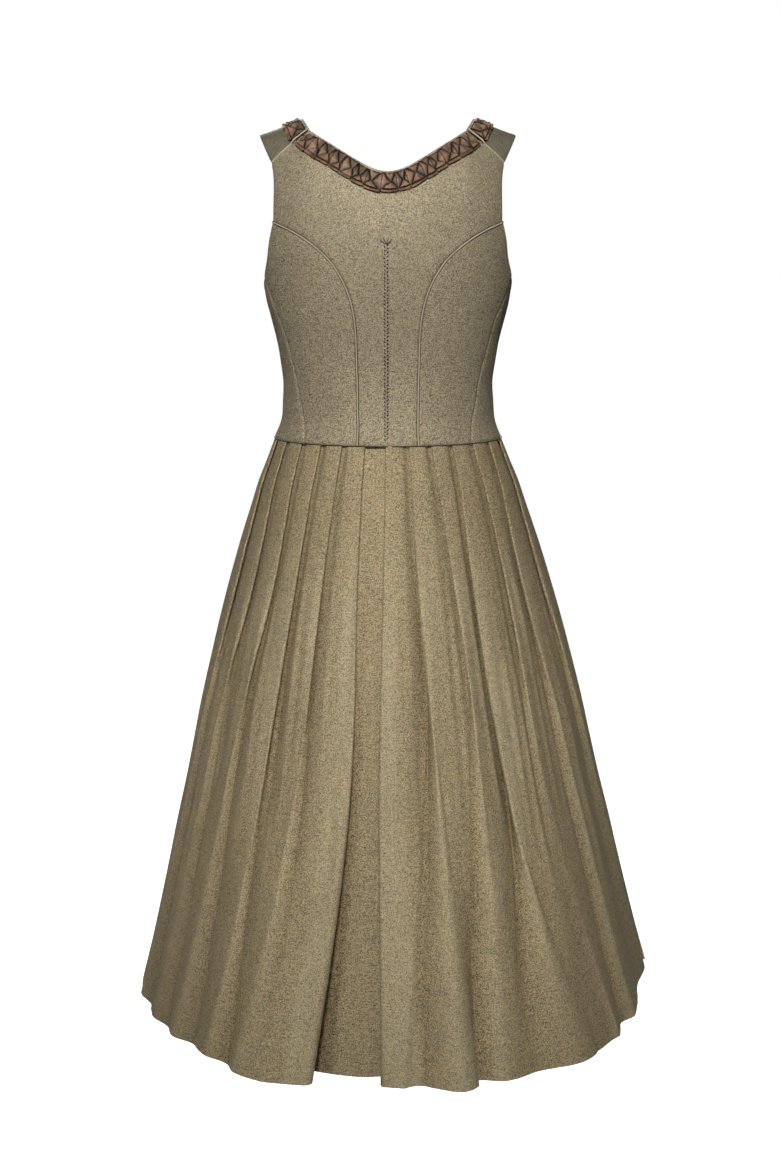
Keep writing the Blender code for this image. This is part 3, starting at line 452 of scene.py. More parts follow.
def crowded(count, breaks=(0.0, 1.0), crowding=0.72):
    """Shares from the first break to the last that lie closer together at every break."""
    found = [breaks[0]]
    for low, high in zip(breaks, breaks[1:]):
        steps = max(4, round(count * (high - low)))
        s = shares(steps)[1:]
        s = s - crowding * np.sin(2 * math.pi * s) / (2 * math.pi)
        found += list(low + (high - low) * s)
    return np.array(found)


def piecewise(parts, breaks=(0.0, 1.0)):
    """One curve out of several, the n-th between two neighbouring breaks."""

    def read(share):
        share = np.atleast_1d(np.asarray(share, float))
        which = np.clip(np.searchsorted(breaks, share, "right") - 1, 0, len(parts) - 1)
        found = np.zeros((len(share), 2))
        for n, part in enumerate(parts):
            here = which == n
            found[here] = along(part, (share[here] - breaks[n]) / (breaks[n + 1] - breaks[n]))
        return found

    return read


def patch(bottom, top, first, last, across, up):
    """Angles and heights inside four border curves."""
    u, v = across[None, :, None], up[:, None, None]
    ruled_u = (1 - u) * first(up)[:, None] + u * last(up)[:, None]
    ruled_v = (1 - v) * bottom(across)[None] + v * top(across)[None]
    a, b, c, d = bottom(0)[0], bottom(1)[0], top(0)[0], top(1)[0]
    both = (1 - v) * ((1 - u) * a + u * b) + v * ((1 - u) * c + u * d)
    return ruled_u + ruled_v - both


# ---------------------------------------------------------------- meshes


def sizes():
    return bpy.context.scene.dirndl_sizes


def grid_normals(grid, outwards):
    """Normals of a grid of points, on the side that faces the given directions."""
    normals = unit(np.cross(np.gradient(grid, axis=1), np.gradient(grid, axis=0)))
    return normals if (normals * outwards).sum() > 0 else -normals


def new_object(name, points, faces, cloth, finish):
    """A mesh whose points keep the cloth coordinates that its finish reads."""
    mesh = bpy.data.meshes.new(name)
    mesh.from_pydata(np.asarray(points).tolist(), [], faces)
    layer = mesh.attributes.new("cloth", "FLOAT_VECTOR", "POINT")
    layer.data.foreach_set("vector", np.asarray(cloth, np.float32).ravel())
    mesh.materials.append(finish_of(finish))
    mesh.shade_smooth()
    mesh.set_sharp_from_angle(angle=math.radians(SHARP))
    made = bpy.data.objects.new(name, mesh)
    bpy.context.scene.collection.objects.link(made)
    return made


def grid_faces(rows, columns, flipped):
    first = (np.arange(rows - 1)[:, None] * columns + np.arange(columns - 1)[None]).ravel()
    faces = np.stack([first, first + 1, first + 1 + columns, first + columns], -1)
    return faces[:, ::-1] if flipped else faces


def wall_mesh(name, outer, inner, cloth, finish):
    """A closed wall between two grids of points."""
    rows, columns = outer.shape[:2]
    half = rows * columns
    border = list(range(columns))
    border += [r * columns + columns - 1 for r in range(1, rows)]
    border += [(rows - 1) * columns + c for c in range(columns - 2, -1, -1)]
    border += [r * columns for r in range(rows - 2, 0, -1)]
    facing = np.cross(
        outer[1:, :-1] - outer[:-1, :-1], outer[:-1, 1:] - outer[:-1, :-1]
    ) * (outer - inner)[:-1, :-1]
    flipped = facing.sum() > 0
    faces = grid_faces(rows, columns, flipped).tolist()
    faces += (grid_faces(rows, columns, not flipped) + half).tolist()
    for a, b in zip(border, border[1:] + border[:1]):
        faces.append([b, a, half + a, half + b] if not flipped else [a, b, half + b, half + a])
    points = np.concatenate([outer.reshape(-1, 3), inner.reshape(-1, 3)])
    both = np.concatenate([cloth.reshape(-1, 3)] * 2)
    return new_object(name, points, faces, both, finish)


def declare(made, middle, node):
    """The piece rides on the dress and stands for its solid, which is hidden. It measures its cloth along
    its middle, but uses no measure."""
    widths, lengths = lengths_along(middle.swapaxes(0, 1))[-1], lengths_along(middle)[-1]
    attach(made, "root")
    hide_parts(node)


def sheet_of(name, middle, normals, thickness, node, finish, raised=0.0):
    """A closed sheet of cloth about a grid of points, with its own thread coordinates and how far it is
    raised over its surroundings, which its finish paints as light and shade."""
    u = lengths_along(middle.swapaxes(0, 1)).swapaxes(0, 1)
    u = u - u[:, -1:] / 2
    v = lengths_along(middle)
    cloth = np.stack([u, v, np.broadcast_to(raised, u.shape)], -1)
    half = normals * thickness / 2
    declare(wall_mesh(name, middle + half, middle - half, cloth, finish), middle, node)


def tube(points, normals, radius, sides):
    """Points and faces of a round cord with closed ends."""
    tangents = unit(np.gradient(points, axis=0))
    sideways = unit(np.cross(tangents, normals))
    outwards = np.cross(sideways, tangents)
    turns = np.linspace(0, 2 * math.pi, sides, endpoint=False)
    radius = np.broadcast_to(radius, len(points))[:, None, None]
    rings = points[:, None] + radius * (
        sideways[:, None] * np.cos(turns)[None, :, None]
        + outwards[:, None] * np.sin(turns)[None, :, None]
    )
    faces = []
    for i in range(len(points) - 1):
        for j in range(sides):
            a, b = i * sides + j, i * sides + (j + 1) % sides
            faces.append([a, a + sides, b + sides, b])
    faces.append(list(range(sides)))
    faces.append([(len(points) - 1) * sides + j for j in reversed(range(sides))])
    return rings.reshape(-1, 3), faces


def joined(name, pieces, finish):
    """One object out of several (points, faces), lying where they are."""
    points, faces, start = [], [], 0
    for piece_points, piece_faces in pieces:
        points.append(piece_points)
        faces += [[start + k for k in face] for face in piece_faces]
        start += len(piece_points)
    points = np.concatenate(points)
    made = new_object(name, points, faces, points, finish)
    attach(made, "root")
    return made


# ---------------------------------------------------------------- finishes


class Socket:
    """A value of a material's nodes, on which Python's own operators work."""

    def __init__(self, finish, link):
        self.finish, self.link = finish, link

    def maths(self, operation, *values):
        return self.finish.node("ShaderNodeMath", {"operation": operation}, dict(enumerate(values)))

    def __add__(self, other):
        return self.maths("ADD", self, other)

    def __sub__(self, other):
        return self.maths("SUBTRACT", self, other)

    def __rsub__(self, other):
        return self.maths("SUBTRACT", other, self)

    def __mul__(self, other):
        return self.maths("MULTIPLY", self, other)

    def __truediv__(self, other):
        return self.maths("DIVIDE", self, other)

    def __pow__(self, other):
        return self.maths("POWER", self, other)

    __radd__, __rmul__ = __add__, __mul__

    def sine(self):
        return self.maths("SINE", self)

    def clamped(self):
        return self.finish.node("ShaderNodeClamp", {}, {0: self})


class Finish:
    """A material out of nodes, with the Principled BSDF's plain values as its arguments."""

    def __init__(self, name, **plain):
        self.material = bpy.data.materials.new(name)
        self.material.use_nodes = True
        self.tree = self.material.node_tree
        self.shader = self.tree.nodes["Principled BSDF"]
        for socket, value in plain.items():
            self.shader.inputs[socket.replace("_", " ")].default_value = value

    def node(self, kind, settings, values, output=0):
        made = self.tree.nodes.new(kind)
        for key, value in settings.items():
            setattr(made, key, value)
        for key, value in values.items():
            if isinstance(value, Socket):
                self.tree.links.new(value.link, made.inputs[key])
            else:
                made.inputs[key].default_value = value
        return Socket(self, made.outputs[output])

    def cloth(self):
        """The threads' own coordinates: across and up the cloth in metres, then how far the cloth is
        raised over its surroundings, which the skirt's finish paints as light and shade, or on the trim
        its painted light and shade. Thread and horn have their places in the frame instead."""
        return self.node("ShaderNodeAttribute", {"attribute_name": "cloth"}, {}, "Vector")

    def axes(self, vector):
        first = self.node("ShaderNodeSeparateXYZ", {}, {0: vector}, "X")
        outputs = first.link.node.outputs
        return [Socket(self, outputs[k]) for k in range(3)]

    def vector(self, operation, first, second):
        return self.node("ShaderNodeVectorMath", {"operation": operation}, {0: first, 1: second})

    def scaled(self, colour, share):
        return self.node("ShaderNodeVectorMath", {"operation": "SCALE"}, {0: colour, "Scale": share})

    def mixed(self, share, first, second):
        settings = {"data_type": "RGBA", "clamp_factor": True}
        return self.node("ShaderNodeMix", settings, {0: share, 6: first, 7: second}, 2)

    def noise(self, vector, scales, detail=1.0, roughness=0.5):
        """Noise from 0 to 1 whose grain has these many cells a metre along each axis."""
        stretched = self.vector("MULTIPLY", vector, scales)
        values = {"Vector": stretched, "Scale": 1.0, "Detail": detail, "Roughness": roughness}
        return self.node("ShaderNodeTexNoise", {"noise_dimensions": "3D"}, values)

    def crossings(self, vector, pitch):
        """Three chance values from 0 to 1 for each crossing of two threads."""
        cell = self.vector("FLOOR", self.scaled(vector, 1 / pitch), (0.0, 0.0, 0.0))
        return self.node("ShaderNodeTexWhiteNoise", {"noise_dimensions": "2D"}, {"Vector": cell}, "Color")

    def bumped(self, height, strength, distance):
        values = {"Strength": strength, "Distance": distance, "Height": height}
        return self.node("ShaderNodeBump", {}, values)

    def feeds(self, **sockets):
        for name, value in sockets.items():
            self.tree.links.new(value.link, self.shader.inputs[name.replace("_", " ")])
        return self.material


def colour(rgb):
    return (*rgb, 1.0)


EDGE_TINT = (0.50, 0.46, 0.39)  # keeps cloth that is seen edge on from turning white
SHEEN_TINT = (0.80, 0.72, 0.58)
SILK_SHEEN_TINT = (0.75, 0.55, 0.42)
GRAIN_DEPTH = 0.0005  # of the cloth's bump, in metres
SILK_DEPTH = 0.0003
THREAD_DEPTH = 0.0002


def woven(name, **plain):
    """A finish of linen yarn, with the shine that the sizes give it."""
    return Finish(
        name, Metallic=sizes().lustre, Specular_IOR_Level=sizes().gloss,
        Specular_Tint=colour(EDGE_TINT), Sheen_Weight=sizes().sheen, **plain,
    )


def linen_finish(name, warm, cool):
    """Melange linen: tan and cool grey threads, short slubs across and a plain weave, with painted light
    on the skirt's fold ridges and painted shade in its hollows.
    """
    finish = woven(name, Sheen_Roughness=0.45, Sheen_Tint=colour(SHEEN_TINT))
    cloth = finish.cloth()
    u, v, fold_light_and_shade = finish.axes(cloth)
    light, hue, _ = finish.axes(finish.crossings(cloth, sizes().thread))
    grain = finish.noise(cloth, (680, 900, 0))
    weft = finish.noise(cloth, (95, 900, 0))
    warp = finish.noise(cloth, (900, 80, 0))
    slub = finish.noise(cloth, (45, 420, 0))
    cloud = finish.noise(cloth, (16, 11, 0), 2.0, 0.5)
    # Painted light and shade of the folds: ridges lighter and cooler, hollows darker and warmer.
    blend = ((hue - 0.5) * 1.5 + (grain - 0.5) * 0.8 + (weft - warp) * 0.9 + fold_light_and_shade * 0.22 + 0.5).clamped()
    base = finish.mixed(blend, colour(warm), colour(cool))
    tone = (light - 0.5) * 1.5 + (grain - 0.5) * 0.3 + (weft - 0.5) * 0.75 + (warp - 0.5) * 0.55
    # Painted light on the skirt's fold ridges and painted shade in its hollows.
    tone = tone + (slub - 0.5) * 0.34 + (cloud - 0.5) * 0.20 + fold_light_and_shade * 0.24 + 1.0
    base = finish.scaled(base, tone)
    pace = 2 * math.pi / sizes().thread
    threads = (u * pace).sine() * (v * pace).sine()
    height = grain * 0.6 + weft * 0.35 + slub * 0.4 + threads * 0.12
    return finish.feeds(
        Base_Color=base,
        Roughness=(grain - 0.5) * 0.16 + sizes().roughness,
        Normal=finish.bumped(height, 0.55, GRAIN_DEPTH),
    )


def twill_finish(name, warm, cool):
    """Grey-olive twill of the yokes, with its ribs on the slant."""
    finish = woven(name)
    cloth = finish.cloth()
    u, v, _ = finish.axes(cloth)
    grain = finish.noise(cloth, (700, 700, 0), 2.0, 0.6)
    light, hue, _ = finish.axes(finish.crossings(cloth, sizes().thread))
    ribs = ((u + v * 1.25) * (2 * math.pi / sizes().twill) + (grain - 0.5) * 2.2).sine()
    base = finish.mixed(((hue - 0.5) + (grain - 0.5) * 2.2 + 0.5).clamped(), colour(warm), colour(cool))
    base = finish.scaled(base, ribs * 0.14 + (light - 0.5) * 0.9 + (grain - 0.5) * 1.3 + 1.0)
    return finish.feeds(
        Base_Color=base,
        Roughness=(grain - 0.5) * 0.1 + sizes().roughness,
        Normal=finish.bumped(ribs * 0.5 + grain, 0.5, GRAIN_DEPTH),
    )


def silk_finish(name, light, dark):
    """Brown silk of the trim, with painted light on its raised folds and painted shade, nearly black, down
    in its pinched slits.
    """
    finish = Finish(
        name, Specular_IOR_Level=0.35, Sheen_Weight=0.08, Sheen_Roughness=0.35,
        Sheen_Tint=colour(SILK_SHEEN_TINT), Metallic=0.1,
    )
    cloth = finish.cloth()
    # raised holds the trim's painted light and shade.
    _, _, raised = finish.axes(cloth)
    ribs = finish.noise(cloth, (1500, 90, 1))
    patches = finish.noise(cloth, (130, 160, 1))
    # Mixes silk in painted shade with lit silk, by the painted light and shade.
    share = (raised * 1.15 + (patches - 0.5) * 0.35).clamped() ** 1.5
    base = finish.scaled(finish.mixed(share, colour(dark), colour(light)), (ribs - 0.5) * 0.5 + 1.0)
    return finish.feeds(
        Base_Color=base,
        Roughness=(patches - 0.5) * 0.2 + 0.56,
        Normal=finish.bumped(ribs, 0.3, SILK_DEPTH),
    )


def thread_finish(name, tone):
    """Sewing thread, cord or piping, a little uneven in its twist."""
    finish = Finish(name, Specular_IOR_Level=0.35, Sheen_Weight=0.2)
    twist = finish.noise(finish.cloth(), (2600, 2600, 2600))
    base = finish.mixed(twist, colour(tone), colour([t * 1.2 for t in tone]))
    return finish.feeds(
        Base_Color=finish.scaled(base, twist * 0.5 + 0.75),
        Roughness=twist * 0.2 + 0.55,
        Normal=finish.bumped(twist, 0.4, THREAD_DEPTH),
    )


def horn_finish(name, tone):
    """Polished dark horn with pale streaks."""
    finish = Finish(name, Specular_IOR_Level=0.5, Coat_Weight=0.35, Coat_Roughness=0.2)
    cloth = finish.cloth()
    streaks = finish.noise(cloth, (160, 900, 160), 3.0, 0.6)
    base = finish.mixed(streaks, colour([t * 0.5 for t in tone]), colour([t * 2.6 for t in tone]))
    return finish.feeds(Base_Color=base, Roughness=streaks * 0.25 + 0.25)


def finish_of(name):
    """One of the dress's finishes, made the first time that it is asked for."""
    found = bpy.data.materials.get(name)
    if found:
        return found
    colours = bpy.context.scene.dirndl_colours
    make, *tones = {
        "bodice_linen": (linen_finish, colours.linen_warm, colours.linen_cool),
        "skirt_linen": (linen_finish, colours.skirt_warm, colours.skirt_cool),
        "yoke_twill": (twill_finish, colours.yoke_warm, colours.yoke_cool),
        "trim_silk": (silk_finish, colours.trim_light, colours.trim_slit_shade),
        "cord_linen": (thread_finish, colours.cord),
        "piping_linen": (thread_finish, colours.piping),
        # Near-black thread finish that paints the shadow of the sunken seams.
        "seam_ditch": (thread_finish, colours.ditch),
        "embroidery_thread": (thread_finish, colours.embroidery),
        "horn": (horn_finish, colours.horn),
    }[name]
    return make(name, *tones)


# ---------------------------------------------------------------- bodice

SIDES = (("left", 1), ("right", -1))


def ripples(a, b, seed):
    """Soft uneven waves over two coordinates in metres, from about -1 to 1."""
    waves = np.random.default_rng(SEED + seed)
    total = np.zeros(np.broadcast(a, b).shape)
    for _ in range(RIPPLE_WAVES):
        way, length = waves.uniform(0, math.pi), RIPPLE_SIZE * waves.uniform(0.6, 1.8)
        phase = waves.uniform(0, 2 * math.pi)
        total += np.sin((a * math.cos(way) + b * math.sin(way)) * 2 * math.pi / length + phase)
    return total / RIPPLE_WAVES**0.5


def edge_roll(distance, depth, reach):
    """The relief of a seam or an edge that rolls in."""
    return -depth * np.exp(-((distance / reach) ** 2))


def turned_edge(distance, width):
    """The relief of a free edge, turned under over this width."""
    return TURNED_RISE * eased((width - distance) / TURNED_STEP) + edge_roll(distance, *EDGE_ROLL)


def bodice_piece(name, curves, across, up, seams, node, out=None, creases=()):
    """A panel of the bodice between four curves: bottom, top, first and last. Its seams roll
    in, and its free edges are turned under."""
    cells = patch(*curves, across, up)
    degrees, height = cells[..., 0], cells[..., 1]
    middle, normals = body(degrees, height), body_normal(degrees, height)
    from_first = lengths_along(middle.swapaxes(0, 1)).swapaxes(0, 1)
    from_bottom = lengths_along(middle)
    distances = {
        "first": from_first,
        "last": from_first[:, -1:] - from_first,
        "bottom": from_bottom,
        "top": from_bottom[-1:] - from_bottom,
    }
    relief = RIPPLE_HEIGHT * ripples(middle[..., 0] + middle[..., 1], middle[..., 2], len(name))
    for side, distance in distances.items():
        rolls_in = side in seams
        relief = relief + (edge_roll(distance, *SEAM_ROLL) if rolls_in else turned_edge(distance, 0.009))
    for x, z, angle, length, width, high in creases:
        sideways = (middle[..., 0] - x) * math.cos(angle) + (middle[..., 2] - z) * math.sin(angle)
        lengthways = (middle[..., 2] - z) * math.cos(angle) - (middle[..., 0] - x) * math.sin(angle)
        relief = relief + high * np.exp(-((sideways / width) ** 2) - (lengthways / length) ** 2)
    if out is not None:
        relief = relief + out(middle[..., 0])
    middle = middle + normals * relief[..., None]
    normals = grid_normals(middle, normals)
    sheet_of(name, middle, normals, sizes().cloth, node, "bodice_linen")


def straight(start, end):
    """The panel's edge in the waist seam, between two angles."""
    return lambda share: np.stack(
        [start + (end - start) * np.atleast_1d(share), np.full(np.size(share), SEAM_GAP / 2)], -1
    )


def lifted(rows):
    """A seam that starts at the waist, clear of the skirt by half a gap."""
    return [(rows[0][0], SEAM_GAP / 2)] + list(rows[1:])


# Faint drag lines of the worn bodice. Columns: place across, height in the frame, slant in
# radians, half length, half width, height, in metres.
BACK_CREASES = (
    (0.020, -0.318, 1.35, 0.030, 0.0045, 0.0006),
    (-0.022, -0.300, 1.75, 0.026, 0.0040, 0.0005),
    (0.012, -0.120, 0.30, 0.050, 0.0060, -0.0005),
    (-0.016, -0.135, -0.25, 0.045, 0.0060, -0.0005),
    (0.060, -0.070, 0.80, 0.035, 0.0055, 0.0006),
    (-0.062, -0.074, -0.75, 0.035, 0.0055, 0.0006),
)


def back_centre():
    seam, armhole = lifted(turned(BACK_PRINCESS)), turned(BACK_ARMHOLE)
    yoke, neck = turned(BACK_YOKE_SEAM, swapped=True), turned(BACK_NECK, swapped=True)
    side_breaks, top_breaks = (0.0, 0.70, 1.0), (0.0, 0.17, 0.5, 0.83, 1.0)
    curves = (
        straight(-seam[0][0], seam[0][0]),
        piecewise([mirrored(yoke), mirrored(neck), neck[::-1], yoke[::-1]], top_breaks),
        piecewise([mirrored(seam), mirrored(armhole)], side_breaks),
        piecewise([seam, armhole], side_breaks),
    )
    bodice_piece(
        "back_panel", curves, crowded(64, top_breaks, 0.6), crowded(90, side_breaks, 0.6),
        ("first", "last", "bottom"), "back_centre", creases=BACK_CREASES,
    )


def under_arm(name, node, rows, side, columns):
    """A panel under the arm. rows: its seam nearer the centre back, its other seam and its
    armhole, as they lie on the wearer's left."""
    first, last, top = (sided(row, side) for row in rows)
    if side < 0:
        first, last, top = last, first, top[::-1]
    curves = (straight(first[0][0], last[0][0]), piecewise([top]), piecewise([first]), piecewise([last]))
    bodice_piece(name, curves, crowded(columns), crowded(70), ("first", "last", "bottom"), node)


def back_side(name, side):
    seam = turned(BACK_PRINCESS)
    rows = (lifted(seam), lifted(SIDE_BACK_SEAM), [seam[-1], *UNDERARM_BACK])
    under_arm("side_back_" + name, "back_side_" + name, rows, side, 30)


def side_front(name, side):
    seam = turned(FRONT_PRINCESS, front=True)
    rows = (lifted(SIDE_BACK_SEAM), lifted(seam), [*UNDERARM_FRONT, seam[-1]])
    under_arm("side_panel_" + name, "side_front_" + name, rows, side, 36)


def front(name, side):
    seam, armhole = lifted(turned(FRONT_PRINCESS, front=True)), turned(FRONT_ARMHOLE, front=True)
    yoke = turned(FRONT_YOKE_SEAM, front=True, swapped=True)
    neck = turned(FRONT_NECK, front=True, swapped=True)
    heights = (SEAM_GAP / 2, 0.08, 0.16, FRONT_NECK[-1][1])
    stand = [(360 - float(turn(BUTTON_STAND, h, front=True)), h) for h in heights]
    neck = [stand[-1]] + neck[-2::-1]
    breaks, neck_break = (0.0, 0.72, 1.0), 0.72 * 9 / 11
    seam, armhole, yoke, neck, stand = (sided(r, side) for r in (seam, armhole, yoke, neck, stand))
    seam_edge = piecewise([seam, armhole], breaks)
    centre_edge = piecewise([stand, neck], (0.0, neck_break, 1.0))
    if side > 0:
        curves = (straight(seam[0][0], stand[0][0]), piecewise([yoke]), seam_edge, centre_edge)
    else:
        curves = (straight(stand[0][0], seam[0][0]), piecewise([yoke[::-1]]), centre_edge, seam_edge)
    rows = np.unique(np.concatenate([crowded(80, breaks, 0.5), [neck_break]]))
    bodice_piece(
        "front_panel_" + name, curves, crowded(40), rows,
        ("first" if side > 0 else "last", "bottom"), "front_" + name, lap if side < 0 else None,
    )


# ---------------------------------------------------------------- shoulder yokes

YOKE_WIDTH = 0.052
YOKE_LENGTH = 0.105


def yoke_point(across, share, side):
    """Points of the yoke: across it from the neck to the armhole, and over it from the back
    seam (0) to the front seam (1)."""
    across, share = np.broadcast_arrays(np.asarray(across, float), np.asarray(share, float))
    is_back = share < 0.5
    back = body(*np.moveaxis(along(turned(BACK_YOKE_SEAM, swapped=True), 1 - across), -1, 0))
    ahead = body(*np.moveaxis(along(turned(FRONT_YOKE_SEAM, front=True, swapped=True), 1 - across), -1, 0))
    seam = np.where(is_back[..., None], back, ahead)
    ridge_x = NECK_POINT_X + (SHOULDER_POINT_X - NECK_POINT_X) * across
    ridge_z = NECK_POINT_HEIGHT - SHOULDER_SLOPE * (ridge_x - NECK_POINT_X) - SHOULDER_HEIGHT
    half = np.where(is_back, 2 * share, 2 * (1 - share))
    arch, start = np.radians(YOKE_START + (90 - YOKE_START) * half), math.radians(YOKE_START)
    rise = (1 - np.sin(arch)) / (1 - math.sin(start))
    y = seam[..., 1] * np.cos(arch) / math.cos(start)
    z = ridge_z - (ridge_z - seam[..., 2]) * rise
    x = ridge_x + (seam[..., 0] - ridge_x) * rise
    return np.stack([side * x, y, z], -1)


def yoke_normal(across, share, side):
    a, b = np.clip(across - 0.02, 0, 1), np.clip(across + 0.02, 0, 1)
    c, d = np.clip(share - 0.02, 0, 1), np.clip(share + 0.02, 0, 1)
    over = yoke_point(across, d, side) - yoke_point(across, c, side)
    out = yoke_point(b, share, side) - yoke_point(a, share, side)
    normal = unit(np.cross(out, over))
    return normal * np.where(normal[..., 2:] > 0, 1, -1)


def yoke(name, side):
    across, over = np.meshgrid(crowded(26), crowded(56), indexing="xy")
    middle, normals = yoke_point(across, over, side), yoke_normal(across, over, side)
    edge = np.minimum(across, 1 - across) * YOKE_WIDTH
    seam = np.minimum(over, 1 - over) * YOKE_LENGTH
    relief = turned_edge(edge, 0.008) + edge_roll(seam, *YOKE_SEAM_ROLL)
    middle = middle + normals * relief[..., None]
    normals = grid_normals(middle, normals)
    cloth, node = sizes().cloth, "yoke_" + name
    sheet_of("yoke_panel_" + name, middle, normals, cloth, node, "yoke_twill")


# ---------------------------------------------------------------- piping and cords

# Sizes of the near-black tubes that paint the shadow in the sunken seams.
DITCH_LIFT = 0.00065
DITCH_RADIUS = 0.00046
WAIST_DITCH_RADIUS = 0.0007


def seam_shadows(name, points, normals, away):
    """Two near-black threads beside a cord, which paint the shadow in its sunken seam."""
    sideways = sideways_of(points, normals)
    cords = [
        tube(points + normals * DITCH_LIFT + sideways * away * way, normals, DITCH_RADIUS, 6)
        for way in (-1, 1)
    ]
    joined(name, cords, "seam_ditch")


def waist_seam():
    """A near-black cord in the seam between the bodice and the skirt, the whole way round, which paints
    the seam's shadow.
    """
    degrees = np.linspace(0, 358, 180)
    points, normals = body(degrees, -0.0006), body_normal(degrees, 0.0)
    cord = tube(points + normals * 0.0005, normals, WAIST_DITCH_RADIUS, 6)
    joined("waist_seam_ditch", [cord], "seam_ditch")


def piping(name, side, front):
    """Linen folded over a cord, in a princess seam."""
    table = FRONT_PRINCESS if front else BACK_PRINCESS
    reads = along(sided(lifted(turned(table, front=front)), side), shares(90))
    points, normals = body(reads[:, 0], reads[:, 1]), body_normal(reads[:, 0], reads[:, 1])
    radius = sizes().piping
    kind = "front_" if front else "back_"
    cord = tube(points + normals * radius * 0.75, normals, radius, 10)
    made = joined("piped_" + kind + name, [cord], "piping_linen")
    # Near-black threads beside the piping paint the shadow in its sunken seam.
    seam_shadows("piped_ditch_" + kind + name, points, normals, radius * 1.2)
    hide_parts(("piping_front_" if front else "piping_back_") + name)


def yoke_cord(name, side, front):
    """The double cord along the yoke's seam, which crosses the trim to the neck edge."""
    table = FRONT_YOKE_SEAM if front else BACK_YOKE_SEAM
    share = np.linspace(0.02, 0.985, 60)
    reads = along(turned(table, front=front, swapped=True), share)
    points = body(reads[:, 0] * side, reads[:, 1])
    normals = unit(
        body_normal(reads[:, 0] * side, reads[:, 1])
        + yoke_normal(1 - share, np.full(60, 1.0 if front else 0.0), side)
    )
    sideways = sideways_of(points, normals)
    radius = sizes().fine_cord
    lift = 0.0010 + 0.0030 * eased((0.1115 - np.abs(points[:, 0])) / 0.005)
    cords = [
        tube(points + normals * lift[:, None] + sideways * radius * way * 1.15, normals, radius, 8)
        for way in (-1, 1)
    ]
    kind = "front_" if front else "back_"
    foot = points + normals * (lift[:, None] - 0.0011)
    # Near-black threads beside the cords paint the shadow in their sunken seam.
    seam_shadows("cord_ditch_" + kind + name, foot, normals, radius * 2.3)
    made = joined("seam_cord_" + kind + name, cords, "cord_linen")
    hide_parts(("yoke_cord_front_" if front else "yoke_cord_back_") + name)


def neck_frame(stretch, share, side):
    """A function that gives points and normals at distances from the neck edge, on the back,
    the yoke or the front."""
    if stretch == "yoke":
        width = np.linalg.norm(yoke_point(1.0, share, side) - yoke_point(0.0, share, side))
        return lambda distance: (
            yoke_point(distance / width, np.full(np.shape(distance), share), side),
            yoke_normal(distance / width, np.full(np.shape(distance), share), side),
        )
    ahead = stretch == "front"
    flat = np.array(FRONT_NECK if ahead else BACK_NECK)
    places = lengths_along(flat)
    rows = np.column_stack([places, flat])
    at = share * places[-1]
    here = np.array([through(rows, at, 1), through(rows, at, 2)])
    low, high = max(at - 0.004, 0.0), min(at + 0.004, places[-1])
    tangent = np.array([through(rows, high, c) - through(rows, low, c) for c in (1, 2)])
    if share > 0.999:
        tangent = np.array([-1.0, 0.0])
    tangent = unit(tangent)
    away = np.array([-tangent[1], tangent[0]])
    seam = np.array(FRONT_YOKE_SEAM if ahead else BACK_YOKE_SEAM)
    seam_way = unit(seam[0] - seam[-1])
    away = unit(seam_way + (away - seam_way) * eased(share / SEAM_BLEND))

    def across(distance):
        distance = np.asarray(distance, float)
        width, height = here[0] + away[0] * distance, here[1] + away[1] * distance
        degrees = angle_of(width, height, ahead) * side
        point, normal = body(degrees, height), body_normal(degrees, height)
        if ahead and side < 0:
            point = point + normal * lap(point[..., :1])
        return point, normal

    return across


NECK_RUNS = {
    "trim_back": [("back", 1, 0.03, 1.0), ("back", -1, 1.0, 0.03)],
    "trim_yoke_left": [("yoke", 1, 0.03, 0.97)],
    "trim_yoke_right": [("yoke", -1, 0.03, 0.97)],
    "trim_front_left": [("front", 1, 0.03, 0.90)],
    "trim_front_right": [("front", -1, 0.03, 0.985)],
}


def neck_places(run, distance):
    """Length along a run at a distance from the neck edge, with its stretch, side and share."""
    places, points = [], []
    for stretch, side, start, end in run:
        for share in np.linspace(start, end, 41):
            places.append((stretch, side, share))
            points.append(neck_frame(stretch, share, side)(np.array([distance]))[0][0])
    return lengths_along(np.array(points)), places


def neck_edge():
    """The turned neck edge of the cloth, in two fine rolls, the whole way round."""
    radius = sizes().fine_cord
    cords = []
    for run in NECK_RUNS.values():
        for distance in (0.0003, 0.0003 + 2.6 * radius):
            points, normals = [], []
            for stretch, side, start, end in run:
                low, high = (0.0, 1.0) if start < end else (1.0, 0.0)
                for share in np.linspace(low, high, 50):
                    point, normal = neck_frame(stretch, share, side)(np.array([distance]))
                    if not points or np.linalg.norm(point[0] - points[-1]) > 0.0006:
                        points.append(point[0])
                        normals.append(normal[0])
            points, normals = np.array(points), np.array(normals)
            cords.append(tube(points + normals * 0.0011, normals, radius, 8))
    joined("neck_edge_rolls", cords, "cord_linen")


# ---------------------------------------------------------------- ruched trim


